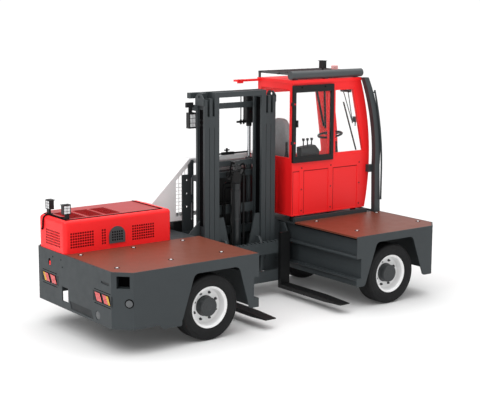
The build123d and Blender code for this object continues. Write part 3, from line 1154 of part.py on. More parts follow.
# Forks
TAPER = 300
TIP_THICK = 12
with BuildPart() as forks:
    for end in (-1, 1):
        x = WELL_X + end * FORK_SPREAD
        cheek(
            (
                (BAR_FRONT_Y, FORK_LOW), (FORK_TIP_Y + TAPER, FORK_LOW), (FORK_TIP_Y, FORK_LOW + 18),
                (FORK_TIP_Y, FORK_LOW + 18 + TIP_THICK),
                (FORK_TIP_Y + TAPER + 120, FORK_LOW + FORK_THICK),
                (SHANK_FRONT_Y, FORK_LOW + FORK_THICK), (SHANK_FRONT_Y, SHANK_TOP),
                (BAR_FRONT_Y, SHANK_TOP),
            ),
            around(x, FORK_WIDTH / 2),
        )
keep(forks, "forks")

# Work lamp on the mast
LAMP_ARM_Y = (CROSS_Y[0] + 3, CROSS_Y[1] - 7)
LAMP_ARM_Z = (MAST_TOP - 107, MAST_TOP - 47)
LAMP_Z = (MAST_TOP - 365, MAST_TOP - 169)
lamp_x = (WELL_X - OUTER_HALF - 92, WELL_X - OUTER_HALF + 8)
with BuildPart() as mast_lamp:
    block((lamp_x[0] - 10, WELL_X - OUTER_HALF), LAMP_ARM_Y, LAMP_ARM_Z)
    block(around(sum(lamp_x) / 2, 25), (LAMP_ARM_Y[0], LAMP_ARM_Y[0] + 12),
          (LAMP_Z[1] - CUT, LAMP_ARM_Z[0] + CUT))
    block(lamp_x, (LAMP_ARM_Y[0] - 44, LAMP_ARM_Y[1] - 6), LAMP_Z)
keep(mast_lamp, "mast_lamp")
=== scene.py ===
import json
import math

import bmesh
import bpy
from mathutils import Matrix, Vector


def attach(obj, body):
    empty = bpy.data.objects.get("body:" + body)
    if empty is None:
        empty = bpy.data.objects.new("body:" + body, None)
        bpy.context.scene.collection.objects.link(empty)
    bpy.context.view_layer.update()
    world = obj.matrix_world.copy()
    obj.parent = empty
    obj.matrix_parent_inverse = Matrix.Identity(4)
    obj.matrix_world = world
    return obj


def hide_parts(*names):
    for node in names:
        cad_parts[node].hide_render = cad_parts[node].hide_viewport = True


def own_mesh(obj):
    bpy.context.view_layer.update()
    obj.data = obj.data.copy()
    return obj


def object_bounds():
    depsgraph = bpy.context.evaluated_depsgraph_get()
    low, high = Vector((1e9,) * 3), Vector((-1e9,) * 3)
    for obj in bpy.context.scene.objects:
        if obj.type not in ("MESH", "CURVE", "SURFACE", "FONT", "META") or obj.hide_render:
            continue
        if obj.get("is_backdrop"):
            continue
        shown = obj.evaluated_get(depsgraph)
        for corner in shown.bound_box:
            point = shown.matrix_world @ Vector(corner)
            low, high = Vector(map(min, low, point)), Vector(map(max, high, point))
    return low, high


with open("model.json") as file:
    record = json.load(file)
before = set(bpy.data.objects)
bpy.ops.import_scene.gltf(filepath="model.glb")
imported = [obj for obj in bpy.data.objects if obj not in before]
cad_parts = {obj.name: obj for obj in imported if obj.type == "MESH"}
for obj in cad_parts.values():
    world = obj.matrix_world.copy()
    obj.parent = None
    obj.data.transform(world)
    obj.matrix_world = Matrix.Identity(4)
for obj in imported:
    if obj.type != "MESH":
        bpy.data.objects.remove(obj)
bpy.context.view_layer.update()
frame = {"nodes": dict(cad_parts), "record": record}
nodes = frame["nodes"]


# Places read from the frame, in metres
def extent(name, axis):
    node = nodes[name]
    values = [(node.matrix_world @ vertex.co)["xyz".index(axis)] for vertex in node.data.vertices]
    return round(min(values), 4), round(max(values), 4)


def middle_of(name, axis):
    return sum(extent(name, axis)) / 2


END_X, WELL_REAR_X = extent("rear_platform", "x")
WELL_FRONT_X = extent("front_platform", "x")[0]
WELL_X = middle_of("mast_outer", "x")
LOAD_SIDE_Y = extent("rear_platform", "y")[0]
DECK_Z = extent("deck_boards", "z")[1]
HOOD_TOP = extent("hood_lid", "z")[1]
GUARD_TOP = extent("rear_guard", "z")[1]
ROD_HEAD_Z = extent("lift_rods", "z")[1]
CAB_FACE_Y = extent("cab_load_side", "y")[0]
SEAT_Y = extent("seat", "y")

# Materials
NOISE_SPAN = (0.3, 0.7)
WEAR_FINER = 6
COAT_ROUGH = 0.08


def link(tree, source, target):
    tree.links.new(source, target)


def noise(tree, scale, detail, stretch):
    coords = tree.nodes.new("ShaderNodeTexCoord")
    mapping = tree.nodes.new("ShaderNodeMapping")
    mapping.inputs["Scale"].default_value = stretch
    texture = tree.nodes.new("ShaderNodeTexNoise")
    texture.inputs["Scale"].default_value = scale
    texture.inputs["Detail"].default_value = detail
    link(tree, coords.outputs["Object"], mapping.inputs["Vector"])
    link(tree, mapping.outputs["Vector"], texture.inputs["Vector"])
    return texture


def cells(tree, scale, randomness, feature="F1"):
    coords = tree.nodes.new("ShaderNodeTexCoord")
    texture = tree.nodes.new("ShaderNodeTexVoronoi")
    texture.feature = feature
    texture.inputs["Scale"].default_value = scale
    texture.inputs["Randomness"].default_value = randomness
    link(tree, coords.outputs["Object"], texture.inputs["Vector"])
    return texture


def spread(tree, value, low, high):
    reach = tree.nodes.new("ShaderNodeMapRange")
    reach.inputs["From Min"].default_value = NOISE_SPAN[0]
    reach.inputs["From Max"].default_value = NOISE_SPAN[1]
    reach.inputs["To Min"].default_value = low
    reach.inputs["To Max"].default_value = high
    link(tree, value, reach.inputs["Value"])
    return reach.outputs["Result"]


def ramp(tree, value, stops):
    blend = tree.nodes.new("ShaderNodeValToRGB")
    while len(blend.color_ramp.elements) < len(stops):
        blend.color_ramp.elements.new(0.5)
    for element, (place, colour) in zip(blend.color_ramp.elements, stops):
        element.position = place
        element.color = (*colour, 1)
    link(tree, value, blend.inputs["Fac"])
    return blend.outputs["Color"]


def bumped(tree, shader, height, strength, depth=0.001):
    bump = tree.nodes.new("ShaderNodeBump")
    bump.inputs["Strength"].default_value = strength
    bump.inputs["Distance"].default_value = depth
    link(tree, height, bump.inputs["Height"])
    link(tree, bump.outputs["Normal"], shader.inputs["Normal"])


def tinted(colour, share):
    return tuple(min(1.0, part * share) for part in colour)


def shader_of(material):
    return material.node_tree.nodes["Principled BSDF"]


def finish(name, colour, rough, vary=0.05, grain=260, bump=0.08, coat=0.0, metal=0.0, patch=1.6,
           stretch=(1, 1, 1), smudge=0.05, shine=0.5):
    material = bpy.data.materials.new(name)
    material.use_nodes = True
    tree = material.node_tree
    shader = shader_of(material)
    shader.inputs["Metallic"].default_value = metal
    shader.inputs["Specular IOR Level"].default_value = shine
    shader.inputs["Coat Weight"].default_value = coat
    shader.inputs["Coat Roughness"].default_value = COAT_ROUGH
    broad = noise(tree, patch, detail=5.0, stretch=stretch)
    tones = ((NOISE_SPAN[0], tinted(colour, 1 - vary)), (NOISE_SPAN[1], tinted(colour, 1 + vary)))
    link(tree, ramp(tree, broad.outputs["Fac"], tones), shader.inputs["Base Color"])
    wear = noise(tree, patch * WEAR_FINER, detail=6.0, stretch=stretch)
    roughness = spread(tree, wear.outputs["Fac"], rough - smudge, rough + smudge)
    link(tree, roughness, shader.inputs["Roughness"])
    fine = noise(tree, grain, detail=2.0, stretch=stretch)
    bumped(tree, shader, fine.outputs["Fac"], bump)
    return material


def deck_film():
    material = finish("deck_brown", (0.166, 0.044, 0.0245), 0.40, patch=1.2, smudge=0.03, shine=0.34)
    tree = material.node_tree
    pressed = cells(tree, scale=95, randomness=0.15, feature="DISTANCE_TO_EDGE")
    height = spread(tree, pressed.outputs["Distance"], 0, 1)
    bumped(tree, shader_of(material), height, strength=0.12, depth=0.0012)
    return material


def clear(name, colour, alpha):
    material = finish(name, colour, 0.09, vary=0.02, bump=0.0, patch=0.8, shine=0.3)
    shader_of(material).inputs["Alpha"].default_value = alpha
    return material


def lamp_glass(name, colour):
    material = finish(name, colour, 0.16, vary=0.04, bump=0.0, coat=0.6)
    tree = material.node_tree
    prisms = cells(tree, scale=70, randomness=0.0)
    bumped(tree, shader_of(material), prisms.outputs["Distance"], strength=0.5, depth=0.003)
    return material


EVEN_PAINT = {"vary": 0.02, "grain": 420, "bump": 0.03, "smudge": 0.02}
GREY = finish("chassis_grey", (0.035, 0.042, 0.0455), 0.5, vary=0.04, shine=0.3)
MAST = finish("mast_grey", (0.041, 0.049, 0.0525), 0.46, vary=0.07, stretch=(1, 1, 0.2), shine=0.3)
RED = finish("red_paint", (0.97, 0.0150, 0.0170), 0.38, shine=0.3, **EVEN_PAINT)
# A dark red used only as painted shade: in the louvre mouths and along the gaps of the sunk cab panels
SHADE_RED = finish("painted_shade_red", (0.16, 0.003, 0.004), 0.6, vary=0.1, shine=0.1)
CAP = finish("cap_grey", (0.085, 0.09, 0.094), 0.4, vary=0.08, patch=9)
# The lid's top takes a darker copy of the red paint: painted shade, as the top is lit less than the sides
SHADED_LID_RED = finish("lid_red_painted_shade", (0.41, 0.0072, 0.0088), 0.34, coat=0.08, shine=0.4, **EVEN_PAINT)
# A darker copy of the mast grey for the free-lift cylinder and its sleeve: painted shade
CYLINDER = finish("cylinder_painted_shade_grey", (0.013, 0.0155, 0.017), 0.36, vary=0.08, shine=0.45)
# A darker grey for the shallow recesses of the end face: painted shade
RECESS = finish("recess_painted_shade", (0.016, 0.019, 0.021), 0.55, shine=0.3)
LIGHT = finish("light_grey", (0.80, 0.80, 0.805), 0.42, vary=0.02)
MIDGREY = finish("guard_grey", (0.055, 0.062, 0.066), 0.45)
BROWN = deck_film()
RUBBER = finish("rubber_tyre", (0.0082, 0.0084, 0.009), 0.72, vary=0.14, grain=520, bump=0.25,
                patch=5, shine=0.25)
WHITE = finish("rim_white", (0.86, 0.86, 0.86), 0.34, vary=0.025, coat=0.2)
HUB = finish("hub_grey", (0.021, 0.0245, 0.0265), 0.42, vary=0.08, patch=8)
BLACK = finish("black_steel", (0.0048, 0.0052, 0.0056), 0.5, vary=0.16, patch=4,
               stretch=(1, 0.4, 1), shine=0.3)
GLOSS = finish("gloss_black", (0.005, 0.0053, 0.0056), 0.22, vary=0.1, patch=9, coat=0.25, shine=0.4)
BOLT = finish("bright_bolt", (0.74, 0.75, 0.76), 0.28, vary=0.06, patch=30)
PLASTIC = finish("black_plastic", (0.010, 0.0105, 0.0115), 0.5, vary=0.1, grain=700, bump=0.2, shine=0.35)
SOFT_RUBBER = finish("seal_rubber", (0.0035, 0.0035, 0.004), 0.85, vary=0.1, grain=600, bump=0.2, shine=0.1)
DARK = finish("dark_inside", (0.0025, 0.0025, 0.003), 0.9, vary=0.2, shine=0.05)
CHROME = finish("chrome_rod", (0.62, 0.63, 0.65), 0.14, vary=0.02, bump=0.0, metal=1.0)
IRON = finish("engine_iron", (0.09, 0.092, 0.097), 0.6, vary=0.15, grain=160, bump=0.3)
FABRIC = finish("seat_grey", (0.26, 0.263, 0.267), 0.85, vary=0.08, grain=900, bump=0.5, patch=6)
GLASS = clear("clear_glass", (0.86, 0.93, 0.93), 0.02)
RED_LENS = lamp_glass("red_lens", (0.90, 0.12, 0.12))
AMBER_LENS = lamp_glass("amber_lens", (0.88, 0.47, 0.015))
WHITE_LENS = lamp_glass("white_lens", (0.72, 0.74, 0.75))
BEACON = clear("beacon_lens", (0.90, 0.45, 0.44), 0.72)

# Paint and rounded edges of the nodes
SLOTS = {
    "chassis_grey": GREY,
    "red_paint": RED,
    "light_grey": LIGHT,
    "guard_grey": MIDGREY,
    "deck_brown": BROWN,
    "rubber_tyre": RUBBER,
    "rim_white": WHITE,
    "black_steel": BLACK,
    "black_plastic": PLASTIC,
    "chrome_rod": CHROME,
    "clear_glass": GLASS,
    "red_lens": PLASTIC,
    "beacon_lens": BEACON,
    "seat_grey": FABRIC,
    "engine_iron": IRON,
}
OWN_PAINT = {
    "hood_lid": SHADED_LID_RED,
    "free_lift_cylinder": CYLINDER,
    "mast_outer": MAST,
    "mast_middle": MAST,
    "mast_inner": MAST,
    "lift_cylinders": MAST,
    "reach_frame": MAST,
    "guard_post": MAST,
    "fork_carriage": MAST,
}
NO_BEVEL = ("cab_glass", "window_glass", "door_glass", "guard_mesh", "hood_grilles", "beacon", "tail_lamps")
EDGE = 0.004
OWN_EDGE = {
    "mast_outer": 0.008,
    "mast_middle": 0.008,
    "mast_inner": 0.008,
    "hood_lid": 0.002,
    "hood_base": 0.003,
    "fork_carriage": 0.003,
    "lid_lamps": 0.002,
    "controls": 0.003,
    "forks": 0.003,
}
FLAT_ANGLE = math.radians(1.0)
EDGE_ANGLE = math.radians(40)


def softened(obj, width):
    merge = obj.modifiers.new("flat", "DECIMATE")
    merge.decimate_type = "DISSOLVE"
    merge.angle_limit = FLAT_ANGLE
    edge = obj.modifiers.new("edge", "BEVEL")
    edge.width = width
    edge.segments = 2
    edge.limit_method = "ANGLE"
    edge.angle_limit = EDGE_ANGLE
    edge.harden_normals = True


for part in frame["record"]["subparts"]:
    name = part["node"]
    node = nodes[name]
    node.data.materials.clear()
    node.data.materials.append(OWN_PAINT.get(name, SLOTS[part["material_slot"]]))
    if name not in NO_BEVEL:
        softened(node, OWN_EDGE.get(name, EDGE))

# Mesh tools, sizes in metres
UP = Vector((0, 0, 1))
HEX = 6
TIP_RADIUS = 0.0015
SUNK = 0.002
WASHER_HIGH = 0.3
HEAD_TAPER = 0.92
CUSHION_CUTS = 9


def about(middle, half):
    return middle - half, middle + half


def block(span_x, span_y, span_z):
    return tuple(zip(span_x, span_y, span_z))


def closed(profile):
    return profile + profile[:1]


class Shape:
    def __init__(self):
        self.bm = bmesh.new()

    def box(self, low, high, turn=None):
        made = bmesh.ops.create_cube(self.bm, size=1)["verts"]
        low = Vector(low)
        high = Vector(high)
        middle = (low + high) / 2
        for vert in made:
            local = Vector(side * size for side, size in zip(vert.co, high - low))
            vert.co = middle + (turn @ local if turn else local)

    def rod(self, start, end, radius, sides=16, end_radius=None):
        start = Vector(start)
        run = Vector(end) - start
        place = Matrix.Translation(start + run / 2) @ run.to_track_quat("Z", "Y").to_matrix().to_4x4()
        if end_radius is None:
            end_radius = radius
        bmesh.ops.create_cone(self.bm, cap_ends=True, segments=sides, radius1=radius, radius2=end_radius,
                              depth=run.length, matrix=place)

    def lathe(self, profile, origin, axis, sides):
        origin = Vector(origin)
        turn = Vector(axis).to_track_quat("Z", "Y").to_matrix()
        rings = []
        for along, radius in profile:
            ring = []
            for step in range(sides):
                angle = 2 * math.pi * step / sides
                local = Vector((radius * math.cos(angle), radius * math.sin(angle), along))
                ring.append(self.bm.verts.new(origin + turn @ local))
            rings.append(ring)
        for near, far in zip(rings, rings[1:]):
            for step in range(sides):
                after = (step + 1) % sides
                self.bm.faces.new((near[step], near[after], far[after], far[step]))
        for ring, point in ((rings[0], profile[0]), (rings[-1], profile[-1])):
            if point[1] <= TIP_RADIUS:
                tip = sum((vert.co for vert in ring), Vector()) / sides
                bmesh.ops.pointmerge(self.bm, verts=ring, merge_co=tip)

    def prism(self, points, depth):
        near = [self.bm.verts.new(Vector(point)) for point in points]
        far = [self.bm.verts.new(Vector(point) + Vector(depth)) for point in points]
        self.bm.faces.new(near)
        self.bm.faces.new(list(reversed(far)))
        count = len(points)
        for step in range(count):
            after = (step + 1) % count
            self.bm.faces.new((near[step], far[step], far[after], near[after]))

    def cushion(self, low, high, lean=0.0, taper=0.0, power=5.0):
        low = Vector(low)
        high = Vector(high)
        middle = (low + high) / 2
        grid = bmesh.new()
        bmesh.ops.create_cube(grid, size=2)
        bmesh.ops.subdivide_edges(grid, edges=grid.edges[:], cuts=CUSHION_CUTS, use_grid_fill=True)
        for vert in grid.verts:
            size = sum(abs(part) ** power for part in vert.co) ** (1 / power)
            local = Vector(part / size * (top - foot) / 2 for part, foot, top in zip(vert.co, low, high))
            local.x += lean * local.z
            local.y *= 1 - taper * max(0.0, local.z / (high.z - middle.z))
            vert.co = middle + local
        mesh = bpy.data.meshes.new("cushion_grid")
        grid.to_mesh(mesh)
        grid.free()
        self.bm.from_mesh(mesh)
        bpy.data.meshes.remove(mesh)

    def done(self, name, material, body, edge=0.0, smooth=38):
        bmesh.ops.recalc_face_normals(self.bm, faces=self.bm.faces)
        mesh = bpy.data.meshes.new(name)
        self.bm.to_mesh(mesh)
        self.bm.free()
        mesh.polygons.foreach_set("use_smooth", [True] * len(mesh.polygons))
        mesh.set_sharp_from_angle(angle=math.radians(smooth))
        obj = bpy.data.objects.new(name, mesh)
        bpy.context.collection.objects.link(obj)
        mesh.materials.append(material)
        if edge:
            softened(obj, edge)
        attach(obj, body)
        return obj


def boxed(name, corners, material, body, edge=0.0):
    shape = Shape()
    for low, high in corners:
        shape.box(low, high)
    return shape.done(name, material, body, edge)


def turned(name, profile, origin, axis, sides, material, body, smooth=38):
    shape = Shape()
    shape.lathe(profile, origin, axis, sides)
    return shape.done(name, material, body, smooth=smooth)


def bolts(name, places, look, radius, height, body, material, washer=1.5):
    shape = Shape()
    look = Vector(look).normalized()
    for place in places:
        place = Vector(place)
        shape.rod(place - look * SUNK, place + look * height * WASHER_HIGH, radius * washer, 20)
        shape.rod(place, place + look * height, radius, HEX, radius * HEAD_TAPER)
    return shape.done(name, material, body, smooth=30)


def pipe(name, points, radius, body):
    curve = bpy.data.curves.new(name, "CURVE")
    curve.dimensions = "3D"
    curve.bevel_depth = radius
    curve.bevel_resolution = 3
    curve.use_fill_caps = True
    spline = curve.splines.new("NURBS")
    spline.points.add(len(points) - 1)
    for point, place in zip(spline.points, points):
        point.co = (*place, 1)
    spline.order_u = 3
    spline.use_endpoint_u = True
    spline.resolution_u = 8
    path = bpy.data.objects.new(name + "_path", curve)
    mesh = bpy.data.meshes.new_from_object(path)
    bpy.data.objects.remove(path)
    mesh.name = name
    mesh.materials.clear()
    mesh.materials.append(SOFT_RUBBER)
    made = bpy.data.objects.new(name, mesh)
    bpy.context.collection.objects.link(made)
    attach(made, body)


# Wheels: rubber with rounded shoulders and grooves, dished rim, hub drum with studs
TYRE_HALF = (
    # along the axle from the wheel's middle, radius: bead, side wall, shoulder, tread, groove
    (-0.098, 0.2365), (-0.109, 0.244), (-0.116, 0.256), (-0.1165, 0.262), (-0.1195, 0.265),
    (-0.1225, 0.29), (-0.1245, 0.32), (-0.1245, 0.336), (-0.1225, 0.339), (-0.1225, 0.346),
    (-0.1235, 0.350), (-0.1215, 0.360), (-0.116, 0.3695), (-0.106, 0.3765), (-0.092, 0.380),
    (-0.072, 0.381), (-0.060, 0.381), (-0.057, 0.375), (-0.049, 0.375), (-0.046, 0.381),
)
TYRE_PROFILE = TYRE_HALF + tuple((-along, radius) for along, radius in reversed(TYRE_HALF))
RIM_PROFILE = (
    # along the axle, radius: hub bore, back of the disc, barrel, rolled lip, dish, face of the disc
    (-0.060, 0.0605), (-0.060, 0.100), (-0.012, 0.100), (-0.012, 0.205), (-0.098, 0.221),
    (-0.098, 0.2362), (0.098, 0.2362), (0.108, 0.2405), (0.1135, 0.2395), (0.1155, 0.2365),
    (0.1145, 0.2325), (0.110, 0.228), (0.105, 0.2265), (0.100, 0.2215), (0.098, 0.214),
    (0.085, 0.2105), (0.060, 0.2085), (0.030, 0.2055), (0.016, 0.199), (0.010, 0.188),
    (0.008, 0.172), (0.008, 0.0605),
)
HUB_PROFILE = (
    # along the axle, radius: flange, drum, rounded rim, sunk end cap
    (0.008, 0.119), (0.018, 0.119), (0.023, 0.110), (0.084, 0.110), (0.095, 0.1075), (0.1005, 0.101),
    (0.1015, 0.094), (0.100, 0.092), (0.100, 0.036), (0.102, 0.034), (0.102, 0.0),
)
WHEELS = ("rear_load", "front_load", "rear_far", "front_far")
DISC_FACE = 0.008
STUDS = 8
STUD_CIRCLE = 0.158
STUD_WASHER = 0.0165
STUD_WASHER_HIGH = 0.006
NUT_FOOT = 0.0125
NUT_TOP = 0.0115
NUT_HIGH = 0.024
HUB_FACE = 0.0995
HUB_SCREW_CIRCLE = 0.076
HUB_SCREW = 0.006
HUB_SCREW_HIGH = 0.005
for name in WHEELS:
    tyre = "tyre_" + name
    body = "wheel_" + name
    wheel_y = middle_of(tyre, "y")
    centre = Vector((middle_of(tyre, "x"), wheel_y, extent(tyre, "z")[1] / 2))
    out = Vector((0, math.copysign(1, wheel_y), 0))
    rubber = turned("rubber_" + name, closed(TYRE_PROFILE), centre, out, 96,
                    RUBBER, body, smooth=50)
    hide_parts(tyre)
    dish = turned("dish_" + name, closed(RIM_PROFILE), centre, out, 72,
                  WHITE, body, smooth=32)
    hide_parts("rim_" + name)
    shape = Shape()
    shape.lathe(HUB_PROFILE, centre, out, 56)
    for step in range(STUDS):
        angle = math.radians((step + 0.5) * 360 / STUDS)
        spoke = Vector((math.cos(angle), 0, math.sin(angle)))
        foot = centre + spoke * STUD_CIRCLE + out * DISC_FACE
        shape.rod(foot, foot + out * STUD_WASHER_HIGH, STUD_WASHER, 18)
        shape.rod(foot, foot + out * NUT_HIGH, NUT_FOOT, HEX, NUT_TOP)
        screw = centre + spoke * HUB_SCREW_CIRCLE + out * HUB_FACE
        shape.rod(screw, screw + out * HUB_SCREW_HIGH, HUB_SCREW, HEX)
    shape.done("hub_" + name, HUB, body, smooth=32)

# Deck: bolts in countersinks darkened as painted shade, and a dark strip as painted shade in the seam under
# the boards along the well
DECK_BOLTS = (
    # x, y
    (-2.260, 0.095), (-1.567, 0.088), (-0.877, 0.090), (-2.256, -0.695), (-1.560, -0.692), (-0.874, -0.700),
    (1.222, 0.090), (1.231, -0.682), (2.287, 0.092), (2.293, -0.686),
)
DECK_BOLT = 0.013
DECK_BOLT_HIGH = 0.007
SINK = 0.031
SINK_TOP = DECK_Z + 0.0012
deck_places = [(bolt_x, bolt_y, DECK_Z) for bolt_x, bolt_y in DECK_BOLTS]
bolts("deck_bolts", deck_places, UP, DECK_BOLT, DECK_BOLT_HIGH, "chassis", BOLT, washer=1.25)
# Dark discs round the bolts: painted shade of the countersinks
shape = Shape()
for bolt_x, bolt_y in DECK_BOLTS:
    shape.rod((bolt_x, bolt_y, DECK_Z - SUNK), (bolt_x, bolt_y, SINK_TOP), SINK, 28)
shape.done("bolt_sinks", DARK, "chassis")
SEAM_Y = (-0.990, 0.200)
SEAM_Z = (0.898, 0.911)
SEAM_PROUD = 0.0015
SEAM_SUNK = 0.0005
seams = (
    (WELL_FRONT_X - SEAM_PROUD, WELL_FRONT_X + SEAM_SUNK),
    (WELL_REAR_X - SEAM_SUNK, WELL_REAR_X + SEAM_PROUD),
)
# Dark strips under the board edges along the well: painted shade in the seam
boxed("deck_edge_shade", [block(seam, SEAM_Y, SEAM_Z) for seam in seams], DARK, "chassis")

# Rear end: leaning bands of the lamp lenses, on a dark gasket inside a dark outline
LAMPS = (
    # middle y, middle z, which way the amber end lies
    (0.558, 0.598, 1),
    (-0.645, 0.606, -1),
)
LENS_BANDS = (
    # from and to along the lamp from its amber end, number of bands, lens material
    (0.030, 0.078, 2, AMBER_LENS),
    (0.078, 0.156, 3, RED_LENS),
    (0.208, 0.318, 4, RED_LENS),
)
GASKET_SPANS = ((0.022, 0.164), (0.200, 0.326))
LAMP_HALF = 0.175
LAMP_LEAN = 0.024
LAMP_SUNK = 0.001
BAND_GAP = 0.011
LENS_HALF_HIGH = 0.046
LENS_DEEP = 0.0045
GASKET_HALF_HIGH = 0.052
GASKET_DEEP = 0.0025
OUTLINE_HALF_LONG = 0.196
OUTLINE_HALF_HIGH = 0.078
OUTLINE_WIDE = 0.007
OUTLINE_CORNER = 0.02


def leaning(shape, ends_y, middle_z, half_high, deep):
    low_y, high_y = sorted(ends_y)
    outline = (
        (low_y - LAMP_LEAN, middle_z - half_high),
        (high_y - LAMP_LEAN, middle_z - half_high),
        (high_y + LAMP_LEAN, middle_z + half_high),
        (low_y + LAMP_LEAN, middle_z + half_high),
    )
    shape.prism([(END_X + LAMP_SUNK, y, z) for y, z in outline], (-deep, 0, 0))


for number, (lamp_y, lamp_z, amber) in enumerate(LAMPS):
    amber_end = lamp_y + amber * LAMP_HALF
    for start, stop, count, material in LENS_BANDS:
        shape = Shape()
        pitch = (stop - start) / count
        for band in range(count):
            first = start + pitch * band + BAND_GAP / 2
            last = start + pitch * (band + 1) - BAND_GAP / 2
            ends_y = (amber_end - amber * first, amber_end - amber * last)
            leaning(shape, ends_y, lamp_z, LENS_HALF_HIGH, LENS_DEEP)
        shape.done(f"tail_lens_{number}_{int(start * 1000)}", material, "chassis")
    shape = Shape()
    for first, last in GASKET_SPANS:
        ends_y = (amber_end - amber * first, amber_end - amber * last)
        leaning(shape, ends_y, lamp_z, GASKET_HALF_HIGH, GASKET_DEEP)
    face_x = about(END_X, LAMP_SUNK)
    for side in (-1, 1):
        upright_y = about(lamp_y + side * OUTLINE_HALF_LONG, OUTLINE_WIDE / 2)
        upright_z = about(lamp_z, OUTLINE_HALF_HIGH - OUTLINE_CORNER)
        shape.box(*block(face_x, upright_y, upright_z))
        level_y = about(lamp_y, OUTLINE_HALF_LONG - OUTLINE_CORNER)
        level_z = about(lamp_z + side * OUTLINE_HALF_HIGH, OUTLINE_WIDE / 2)
        shape.box(*block(face_x, level_y, level_z))
    shape.done(f"lamp_gasket_{number}", DARK, "chassis")

# Rear end: plug, dark discs as painted shade of small holes, and tie-down hook with painted shade in the
# recess behind it
END_PLUG = (END_X + 0.0075, -0.540, 0.395)
END_PLUG_PROFILE = ((0.0, 0.047), (0.004, 0.047), (0.006, 0.044), (0.006, 0.0))
turned("end_plug", END_PLUG_PROFILE, END_PLUG, (-1, 0, 0), 32, CAP, "chassis")
END_HOLES = (
    # y, z
    (0.476, 0.864),
    (0.281, 0.860),
    (0.254, 0.781),
)
END_HOLE = 0.0085
END_HOLE_X = (END_X + 0.001, END_X - 0.0012)
# Dark discs on the end face as painted shade of the holes
shape = Shape()
for hole_y, hole_z in END_HOLES:
    shape.rod((END_HOLE_X[0], hole_y, hole_z), (END_HOLE_X[1], hole_y, hole_z), END_HOLE, 16)
shape.done("end_holes", DARK, "chassis")
HOOK_FOOT_X = END_X + 0.006
HOOK = block((END_X - 0.003, HOOK_FOOT_X), (0.536, 0.563), (0.752, 0.803))
HOOK_BACK_SHADE = block((END_X + 0.002, HOOK_FOOT_X), (0.530, 0.590), (0.745, 0.835))
boxed("tie_hook", [HOOK], RED, "chassis", edge=0.006)
# A dark box in the recess behind the hook: painted shade
boxed("tie_hook_back_shade", [HOOK_BACK_SHADE], DARK, "chassis")

# Rear corner: pocket with grey walls and a dark back as painted shade of its inside, round cap on the
# chamfer, and the shallow recesses of the end face, darkened as painted shade
CHAMFER_HALF = 0.0865
corner = Vector((END_X + CHAMFER_HALF, LOAD_SIDE_Y + CHAMFER_HALF, 0))
along = Vector((1, -1, 0)).normalized()
inward = Vector((1, 1, 0)).normalized()
turn = Matrix((along, inward, UP)).transposed()
POCKET_WIDE = (-0.068, 0.086)
POCKET_DEEP = (0.0152, 0.11)
POCKET_Z = (0.751, 0.894)
WALL = 0.004
BACK_DEEP = (POCKET_DEEP[1], POCKET_DEEP[1] + WALL)
REAR_WIDE = (POCKET_WIDE[0], POCKET_WIDE[0] + WALL)
FRONT_WIDE = (POCKET_WIDE[1] - WALL, POCKET_WIDE[1])
LOW_Z = (POCKET_Z[0], POCKET_Z[0] + WALL)
HIGH_Z = (POCKET_Z[1] - WALL, POCKET_Z[1])
POCKET_WALLS_AND_SHADE = (
    # name, span along the chamfer, span inward, span upward, material, slot
    # the dark back is painted shade of the pocket's inside, though its slot reads black plastic
    ("pocket_back", POCKET_WIDE, BACK_DEEP, POCKET_Z, DARK, "black_plastic"),
    ("pocket_wall_rear", REAR_WIDE, POCKET_DEEP, POCKET_Z, GREY, "chassis_grey"),
    ("pocket_wall_front", FRONT_WIDE, POCKET_DEEP, POCKET_Z, GREY, "chassis_grey"),
    ("pocket_wall_low", POCKET_WIDE, POCKET_DEEP, LOW_Z, GREY, "chassis_grey"),
    ("pocket_wall_high", POCKET_WIDE, POCKET_DEEP, HIGH_Z, GREY, "chassis_grey"),
)
for name, span_along, span_inward, span_up, material, slot in POCKET_WALLS_AND_SHADE:
    low, high = block(span_along, span_inward, span_up)
    half = (Vector(high) - Vector(low)) / 2
    place = corner + turn @ (Vector(low) + half)
    shape = Shape()
    shape.box(place - half, place + half, turn)
    shape.done(name, material, "chassis")
CAP_ALONG = 0.075
CAP_Z = 0.595
CAP_RING_PROFILE = ((0.0, 0.050), (0.0035, 0.050), (0.0035, 0.0385))
CAP_FACE_PROFILE = ((0.0075, 0.0385), (0.0095, 0.0375), (0.0105, 0.033), (0.0105, 0.0))
cap = corner + along * CAP_ALONG + UP * CAP_Z
turned("corner_cap_ring", CAP_RING_PROFILE, cap, -inward, 36, DARK, "chassis")
turned("corner_cap_face", CAP_FACE_PROFILE, cap, -inward, 36, CAP, "chassis")
# The recess floors take a darker grey as painted shade
RECESS_X = END_X + 0.0068
RECESS_SKIN = 0.001
PLATE_RECESS = block((RECESS_X - RECESS_SKIN, RECESS_X), (-0.787, -0.620), (0.773, 0.798))
STEP_RECESS = (
    # y, z
    (0.090, 0.421), (-0.395, 0.421), (-0.440, 0.334), (0.062, 0.334),
)
shape = Shape()
shape.box(*PLATE_RECESS)
shape.prism([(RECESS_X, y, z) for y, z in STEP_RECESS], (-RECESS_SKIN, 0, 0))
shape.done("end_recesses", RECESS, "chassis")

